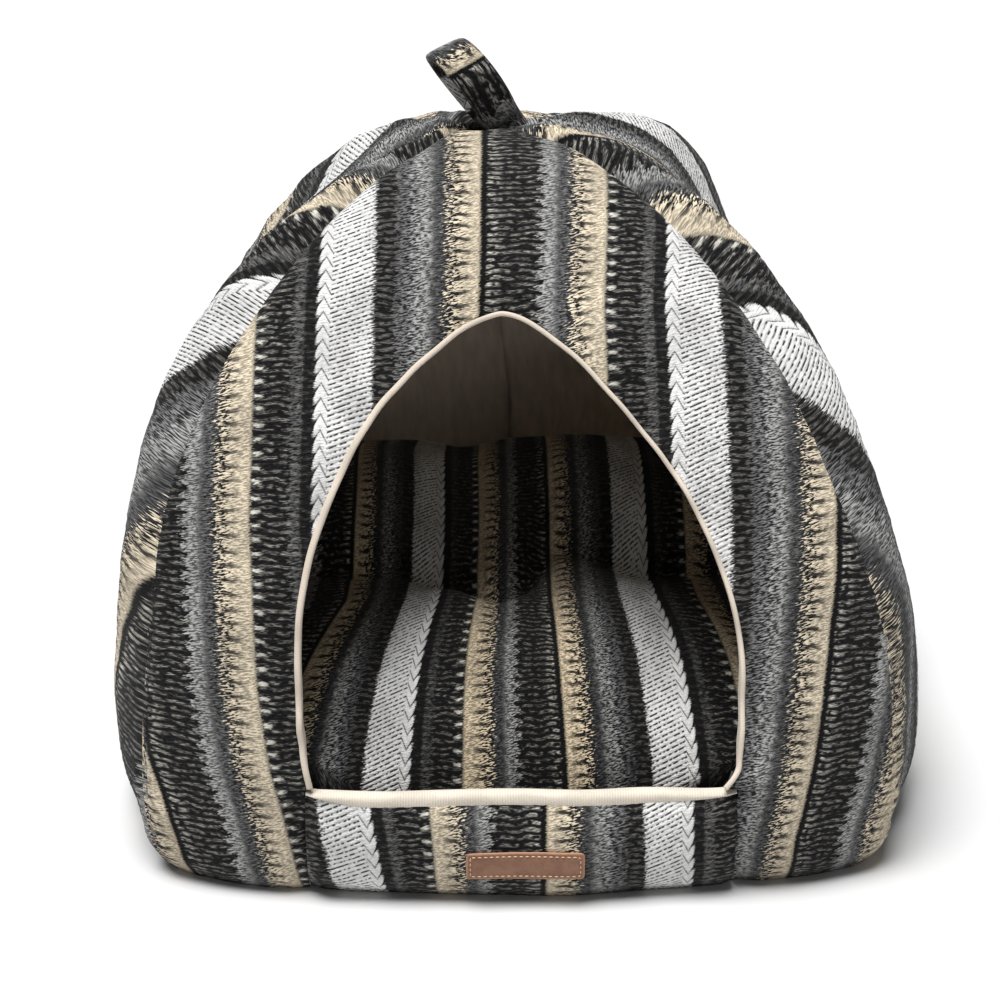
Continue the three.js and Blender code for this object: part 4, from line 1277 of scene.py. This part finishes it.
class PETBED_OT_tapes(BedOperator, bpy.types.Operator):
    """Fold the tape over the arch and over the top of the lip"""
    bl_idname = "petbed.tapes"
    bl_label = "Edging tapes"

    # Steps round the fold, in millimetres: into the cloth, off its face, back into the mouth
    ARCH_FOLD = np.array([
        (1.9, -0.3, 0), (1.8, 0.6, 0), (1.2, 1.05, 0), (0.4, 1.2, 0), (-0.4, 1.1, 0), (-1.0, 0.7, 0),
        (-1.35, 0, 0.3), (-1.4, 0, 2), (-1.3, 0, 5), (-1.1, 0, 8), (-0.9, 0, 10.5), (-0.5, 0, 11.8),
        (0.5, 0, 12.4), (2.0, 0, 12.5),
    ]) * MM
    # Steps round the fold, in millimetres: above the lip's top, in front of it
    LIP_FOLD = np.array([
        (-6.2, 0.0), (-6.1, 0.9), (-4.6, 1.5), (-2.4, 1.7), (-0.4, 1.5), (1.1, 0.6), (1.7, -0.9),
        (1.8, -2.6), (1.5, -4.2), (0.5, -5.4), (-1.4, -5.9), (-3.6, -6.0),
    ]) * MM

    # How much wider and longer a tape is cut than its fold and its edge are
    SLACK = (1.04, 1.02)

    def execute(self, context):
        tones = cloth()
        self.arch(tape_material("arch tape", tones.arch_tape, 0.25))
        self.lip(tape_material("lip tape", tones.lip_tape, 0.8))
        return {"FINISHED"}

    def fold_steps(self, fold, b):
        """Points round a fold at shares from -1 to 1, and their distance round it."""
        share, shares = (b + 1) / 2, np.linspace(0, 1, 200)
        return spline(fold, share), np.interp(share, shares, lengths(spline(fold, shares)))

    def sew(self, mesh, material, node, solid, fold, long):
        """Put a folded tape on the edge of a solid."""
        turn_faces(mesh)
        tape = add_piece(mesh, material, "edging_tape", node)
        thicken(tape, TAPE_THICK)

    def arch(self, material):
        every = np.linspace(0, 1, 2000)
        over = every[mouth_edge(every)[:, 1] > TAPE_CLEAR]
        first, last = over[0], over[-1]
        line = np.linspace(first, last, 900)
        rim, _, _ = front_skin(line, np.zeros_like(line))
        inside, _, _ = front_skin(line, np.full_like(line, 0.02))
        along, into = unit(np.gradient(rim, axis=0)), inside - rim
        into = unit(into - along * np.sum(into * along, -1, keepdims=True))
        off = np.cross(along, into)
        far = lengths(rim)

        def place(a, b):
            share = first + (last - first) * (a + 1) / 2
            step, round_fold = self.fold_steps(self.ARCH_FOLD, b)
            end = np.minimum(share - first, last - share) * far[-1] / (last - first)
            step[:, 2] *= 0.1 + 0.9 * smooth(end, 6 * MM, 24 * MM)
            lap = np.interp(share, [first, 0.35, 0.5, 0.6, last], [0.9, 1.15, 0.6, 0.55, 0.7])
            step[:, 0] = np.where(step[:, 0] > 0, step[:, 0] * lap, step[:, 0])
            on_rim, inward, forward = (rows_at(share, line, table) for table in (rim, into, off))
            points = on_rim + inward * step[:, :1] + forward * step[:, 1:2]
            points[:, 1] += step[:, 2]
            return points, np.stack([np.interp(share, line, far), round_fold], -1)

        mesh = grid("arch_tape_fold", 560, 22, place)
        self.sew(mesh, material, "arch_tape", "front_panel", self.ARCH_FOLD, far[-1])

    def lip(self, material):
        half = MOUTH_FOOT - 0.6 * MM

        def place(a, b):
            x = a * half
            full = np.interp(x, [-half, -half + 30 * MM, 52 * MM, half], [0.12, 1.0, 1.0, 0.14])
            step, round_fold = self.fold_steps(self.LIP_FOLD, b)
            points = lip_skin(x, np.full_like(x, LIP_TOP))
            points[:, 2] += np.where(step[:, 0] < 0, step[:, 0] * full, step[:, 0] * (0.5 + 0.5 * full))
            points[:, 1] -= step[:, 1]
            points[:, 2] += 0.6 * MM * waves(x, 0.0, 0.07, 52)
            return points, np.stack([x, round_fold], -1)

        mesh = grid("lip_tape_fold", 300, 20, place)
        self.sew(mesh, material, "lip_tape", "front_lip", self.LIP_FOLD, 2 * half)


class PETBED_OT_cushion(BedOperator, bpy.types.Operator):
    """Sew the deep cushion from two covers and fill it"""
    bl_idname = "petbed.cushion"
    bl_label = "Cushion"

    def execute(self, context):
        cells = 76
        top = grid("cushion_top", cells, cells, lambda a, b: self.cover(a, b, True))
        bottom = grid("cushion_bottom", cells, cells, lambda a, b: self.cover(a, b, False))
        mesh = joined("cushion_cover", [top, bottom])
        seal(mesh, 0.05 * MM)
        # The cushion's darker copy of the knit is painted shade: it stands for the hood's shadow falling on
        # the cushion.
        material = striped_material("striped knit with painted shade", 1.3, 0.77)
        cushion = add_piece(mesh, material, "striped_cloth", "cushion")
        self.stuff(context, cushion)
        round_off(cushion)
        return {"FINISHED"}

    def height(self, x, y, side):
        """Height of the cushion's top, with its crease and the folds that run into it."""
        table = spline(CUSHION_CROWN, np.linspace(0, 1, 300))
        crown = np.interp(y, table[:, 0], table[:, 1])
        at, deep = rows_at(x, CREASE[:, 0], CREASE[:, 1:]).T
        off = y - at
        crown = crown - deep * np.exp(-(np.abs(off) / np.where(off < 0, CREASE_FRONT, CREASE_BACK)) ** 1.3)
        folds = np.sin(2 * math.pi * x / CREASE_FOLDS + 2.0 * waves(x, y, 0.2, 44))
        crown = crown + 2.2 * MM * folds * np.exp(-np.abs(off) / CREASE_REACH) * (1 - bell(off, 6 * MM))
        crown = crown + 1.6 * MM * waves(x, y, 0.11, 45)
        crown = crown + 6 * MM * smooth(y, 0.03, 0.12) * smooth(np.abs(x), 0.04, 0.12)
        lump, dip = 5 * MM * bell(x - 0.050, 0.030), 8 * MM * bell(x + 0.030, 0.018)
        crown = crown + smooth(y, -0.05, 0.01) * (lump - dip)
        return CUSHION_EDGE + (crown - CUSHION_EDGE) * np.sqrt(np.maximum(0, 1 - np.abs(side) ** 5))

    def plan(self, a, b, z):
        """Place in plan inside the walls at a height."""
        rise = rise_at(z)
        crown = (spline(CROWN, rise) - outward(CROWN, rise) * CUSHION_INSET)[..., 0]
        seam = seam_reach(rise) - CUSHION_INSET
        return a * (crown + (seam - crown) * b * b), b * (crown + (seam - crown) * a * a)

    def cover(self, a, b, upper):
        """Points of the upper or the lower cover, which meet at the rim, and the cloth's measure there."""
        a, b = crowd(a, 0.3), crowd(b, 0.3)
        most = np.maximum(np.maximum(np.abs(a), np.abs(b)), 1e-6)
        middle = np.full_like(a, CUSHION_MIDDLE)
        rim = self.height(*self.plan(a / most, b / most, middle), a / most)
        if upper:
            z = np.where(most > 0.9999, rim, self.height(*self.plan(a, b, middle), a))
            x, y = self.plan(a, b, z)
        else:
            z = CUSHION_FLOOR + (rim - CUSHION_FLOOR) * most ** 16
            x, y = self.plan(a, b, rim)
        x, y = x * CUSHION_EASE, y * CUSHION_EASE
        table = spline(CUSHION_CROWN, np.linspace(0, 1, 300))
        along = np.interp(y, table[:, 0], lengths(table))
        repeat, line = stripe_table(CUSHION_STRIPES, x, y)
        down = np.maximum(np.interp(y, table[:, 0], table[:, 1]) - z, 0.0) * smooth(np.abs(a), 0.8, 0.97)
        u = stripe_measure(-x - CUSHION_SIDE * np.sign(x) * down, repeat, -line)
        u = u + 1.0 * MM * waves(x, y, 0.13, 73)
        return np.stack([x, y, z], -1), np.stack([u, ALONG_FROM - along], -1)

    def stuff(self, context, cushion):
        """Fill the cover: press it out from inside, held at its crease and its foot."""
        form, scene, mesh = shape(), context.scene, cushion.data
        start = positions(mesh)
        crease = np.abs(start[:, 1] - np.interp(start[:, 0], CREASE[:, 0], CREASE[:, 1])) < 7 * MM
        held = (start[:, 2] < 30 * MM) | (crease & (start[:, 2] > 60 * MM))
        group = cushion.vertex_groups.new(name="held")
        group.add([int(index) for index in np.flatnonzero(held)], 1.0, "REPLACE")
        filling = cushion.modifiers.new("filling", "CLOTH")
        filling.settings.vertex_group_mass = "held"
        filling.settings.use_pressure = True
        filling.settings.uniform_pressure_force = form.pressure
        filling.settings.effector_weights.gravity = 0.0
        filling.settings.quality = 6
        filling.point_cache.frame_start = 1
        filling.point_cache.frame_end = form.frames
        for step in range(1, form.frames + 1):
            scene.frame_set(step)
        stuffed = cushion.evaluated_get(context.evaluated_depsgraph_get())
        move = positions(stuffed.data) - start
        far = np.maximum(np.linalg.norm(move, axis=1, keepdims=True), 1e-9)
        move = move * np.minimum(1.0, form.reach / far)
        cushion.modifiers.remove(filling)
        cushion.vertex_groups.remove(group)
        scene.frame_set(1)
        move_to(mesh, start + move)


class PETBED_OT_loop(BedOperator, bpy.types.Operator):
    """Fold the carry loop at the peak"""
    bl_idname = "petbed.loop"
    bl_label = "Carry loop"

    def execute(self, context):
        mesh = grid("carry_strap", 96, 40, self.place)
        seal(mesh, 0.01 * MM)
        strap = add_piece(mesh, striped_material(), "striped_cloth", "carry_loop")
        return {"FINISHED"}

    def place(self, a, b):
        """Points and measure of the strap: a runs along it from back to front, b round it."""
        turned = Matrix.Rotation(LOOP_TURN, 3, "Z")
        up = turned @ Vector((-math.sin(LOOP_LEAN), 0, math.cos(LOOP_LEAN)))
        across = turned @ Vector((math.cos(LOOP_LEAN), 0, math.sin(LOOP_LEAN)))
        up, across, apart, root = (np.array(way) for way in (up, across, up.cross(across), LOOP_ROOT))
        outline = np.vstack([LOOP_LEG, LOOP_LEG[-2::-1] * (-1, 1)])
        table = spline(outline, np.linspace(0, 1, 400))
        long, share = lengths(table)[-1], (a + 1) / 2
        step = 0.4 * MM / long
        middle = resample(table, share)
        along = unit(resample(table, share + step) - resample(table, share - step))
        out = np.stack([-along[:, 1], along[:, 0]], -1)
        angle = b * math.pi
        wide = np.sign(np.cos(angle)) * np.abs(np.cos(angle)) ** LOOP_SQUARE[0] * LOOP_WIDTH / 2
        thick = np.sign(np.sin(angle)) * np.abs(np.sin(angle)) ** LOOP_SQUARE[1] * LOOP_THICK / 2
        thick = thick * (1 + 0.10 * waves(share * 0.13, wide, 0.03, 47))
        gap = middle[:, 0] + out[:, 0] * thick
        rise = middle[:, 1] + out[:, 1] * thick
        skew = np.clip(rise / LOOP_LEG[-1, 1], 0, 1) ** 2
        rise, wide = rise - LOOP_SLANT * wide * skew, wide - LOOP_ASIDE * skew
        points = root + apart * gap[:, None] + up * rise[:, None] + across * wide[:, None]
        stripe = np.interp((share - 0.5) * long / MM, LOOP_STRIPES[:, 0], LOOP_STRIPES[:, 1])
        u = (stripe / STRIPE_TOTAL + ACROSS_FROM) * cloth().repeat
        return points, np.stack([u, ALONG_FROM + b * LOOP_ROUND], -1)


class PETBED_OT_tag(BedOperator, bpy.types.Operator):
    """Sew the bare leather tag to the lip"""
    bl_idname = "petbed.tag"
    bl_label = "Leather tag"

    def execute(self, context):
        mesh = grid("tag", 90, 26, self.place)
        tag = add_piece(mesh, leather_material(), "tag_leather", "leather_tag")
        thicken(tag, TAG_THICK)
        self.stitch()
        return {"FINISHED"}

    def corner(self, a, b):
        """Rounded rectangle from a plain one."""
        x, y = a * TAG_HALF[0], b * TAG_HALF[1]
        over_x = np.maximum(np.abs(x) - (TAG_HALF[0] - TAG_CORNER), 0)
        over_y = np.maximum(np.abs(y) - (TAG_HALF[1] - TAG_CORNER), 0)
        square = np.maximum(over_x, over_y) / np.maximum(np.hypot(over_x, over_y), 1e-9)
        return x - np.sign(x) * over_x * (1 - square), y - np.sign(y) * over_y * (1 - square)

    def on_lip(self, x, y, stand):
        """Points over the lip at a place on the tag."""
        points = lip_skin(TAG_AT[0] + x, TAG_AT[1] + y)
        points[:, 1] -= stand
        return points

    def place(self, a, b):
        x, y = self.corner(crowd(a, 0.25), crowd(b, 0.25))
        rim = np.minimum(TAG_HALF[0] - np.abs(x), TAG_HALF[1] - np.abs(y))
        stand = TAG_OFF + TAG_THICK - 0.7 * MM * np.exp(-rim / (0.6 * MM))
        stand = stand - 0.28 * MM * bell(rim - STITCH_INSET, 0.7 * MM) + 0.12 * MM * waves(x, y, 0.012, 53)
        return self.on_lip(x, y, stand), np.stack([x, y], -1)

    def stitch(self):
        """Short stitches round the tag, each a small rounded bar sunk a little in the leather."""
        half_x, half_y = TAG_HALF[0] - STITCH_INSET, TAG_HALF[1] - STITCH_INSET
        corners = ((-1, -1), (1, -1), (1, 1), (-1, 1), (-1, -1))
        path = np.array([(x * half_x, y * half_y) for x, y in corners])
        total = lengths(path)[-1]
        count = int(round(total / STITCH_PITCH))
        middles, half = (np.arange(count) + 0.5) / count, STITCH_LONG / 2 / total
        heads, tails = (
            self.on_lip(x, y, TAG_OFF + TAG_THICK + 0.05 * MM)
            for x, y in (resample(path, middles - half).T, resample(path, middles + half).T))
        bm = bmesh.new()
        for head, tail in zip(heads, tails):
            first, second = Vector(head), Vector(tail)
            made = bmesh.ops.create_uvsphere(bm, u_segments=8, v_segments=6, radius=1.0)["verts"]
            way = (second - first).to_track_quat("Z", "Y").to_matrix()
            size = (STITCH_THICK, STITCH_THICK, (second - first).length / 2)
            bmesh.ops.scale(bm, verts=made, vec=size)
            bmesh.ops.rotate(bm, verts=made, cent=(0, 0, 0), matrix=way)
            bmesh.ops.translate(bm, verts=made, vec=(first + second) / 2)
        mesh = to_mesh(bm, "tag_stitches")
        mesh.uv_layers.new(name="cloth")
        add_piece(mesh, thread_material(), "tag_leather")


class PETBED_PT_bed(bpy.types.Panel):
    """Sidebar list of the bed's pieces and settings"""
    bl_idname = "PETBED_PT_bed"
    bl_label = "Hooded Pet Bed"
    bl_space_type = "VIEW_3D"
    bl_region_type = "UI"
    bl_category = "Pet Bed"

    def draw(self, context):
        scene = context.scene
        for group in (scene.bed_shape, scene.bed_cloth, scene.bed_stage):
            column = self.layout.column(align=True)
            for name in group.__annotations__:
                column.prop(group, name)
        column = self.layout.column(align=True)
        for operator in OPERATORS:
            column.operator(operator.bl_idname)


OPERATORS = (
    PETBED_OT_stage, PETBED_OT_base, PETBED_OT_walls, PETBED_OT_front, PETBED_OT_lip, PETBED_OT_lining,
    PETBED_OT_tapes, PETBED_OT_cushion, PETBED_OT_loop, PETBED_OT_tag,
)
CLASSES = (BedShape, BedCloth, BedStage, *OPERATORS, PETBED_PT_bed)


def register():
    for made in CLASSES:
        bpy.utils.register_class(made)
    bpy.types.Scene.bed_shape = PointerProperty(type=BedShape)
    bpy.types.Scene.bed_cloth = PointerProperty(type=BedCloth)
    bpy.types.Scene.bed_stage = PointerProperty(type=BedStage)


def unregister():
    del bpy.types.Scene.bed_stage, bpy.types.Scene.bed_cloth, bpy.types.Scene.bed_shape
    for made in reversed(CLASSES):
        bpy.utils.unregister_class(made)


def main():
    register()
    bpy.ops.petbed.stage()
    bpy.ops.petbed.base()
    bpy.ops.petbed.walls()
    bpy.ops.petbed.front()
    bpy.ops.petbed.lip()
    bpy.ops.petbed.lining()
    bpy.ops.petbed.tapes()
    bpy.ops.petbed.cushion()
    bpy.ops.petbed.loop()
    bpy.ops.petbed.tag()


if __name__ == "__main__":
    main()
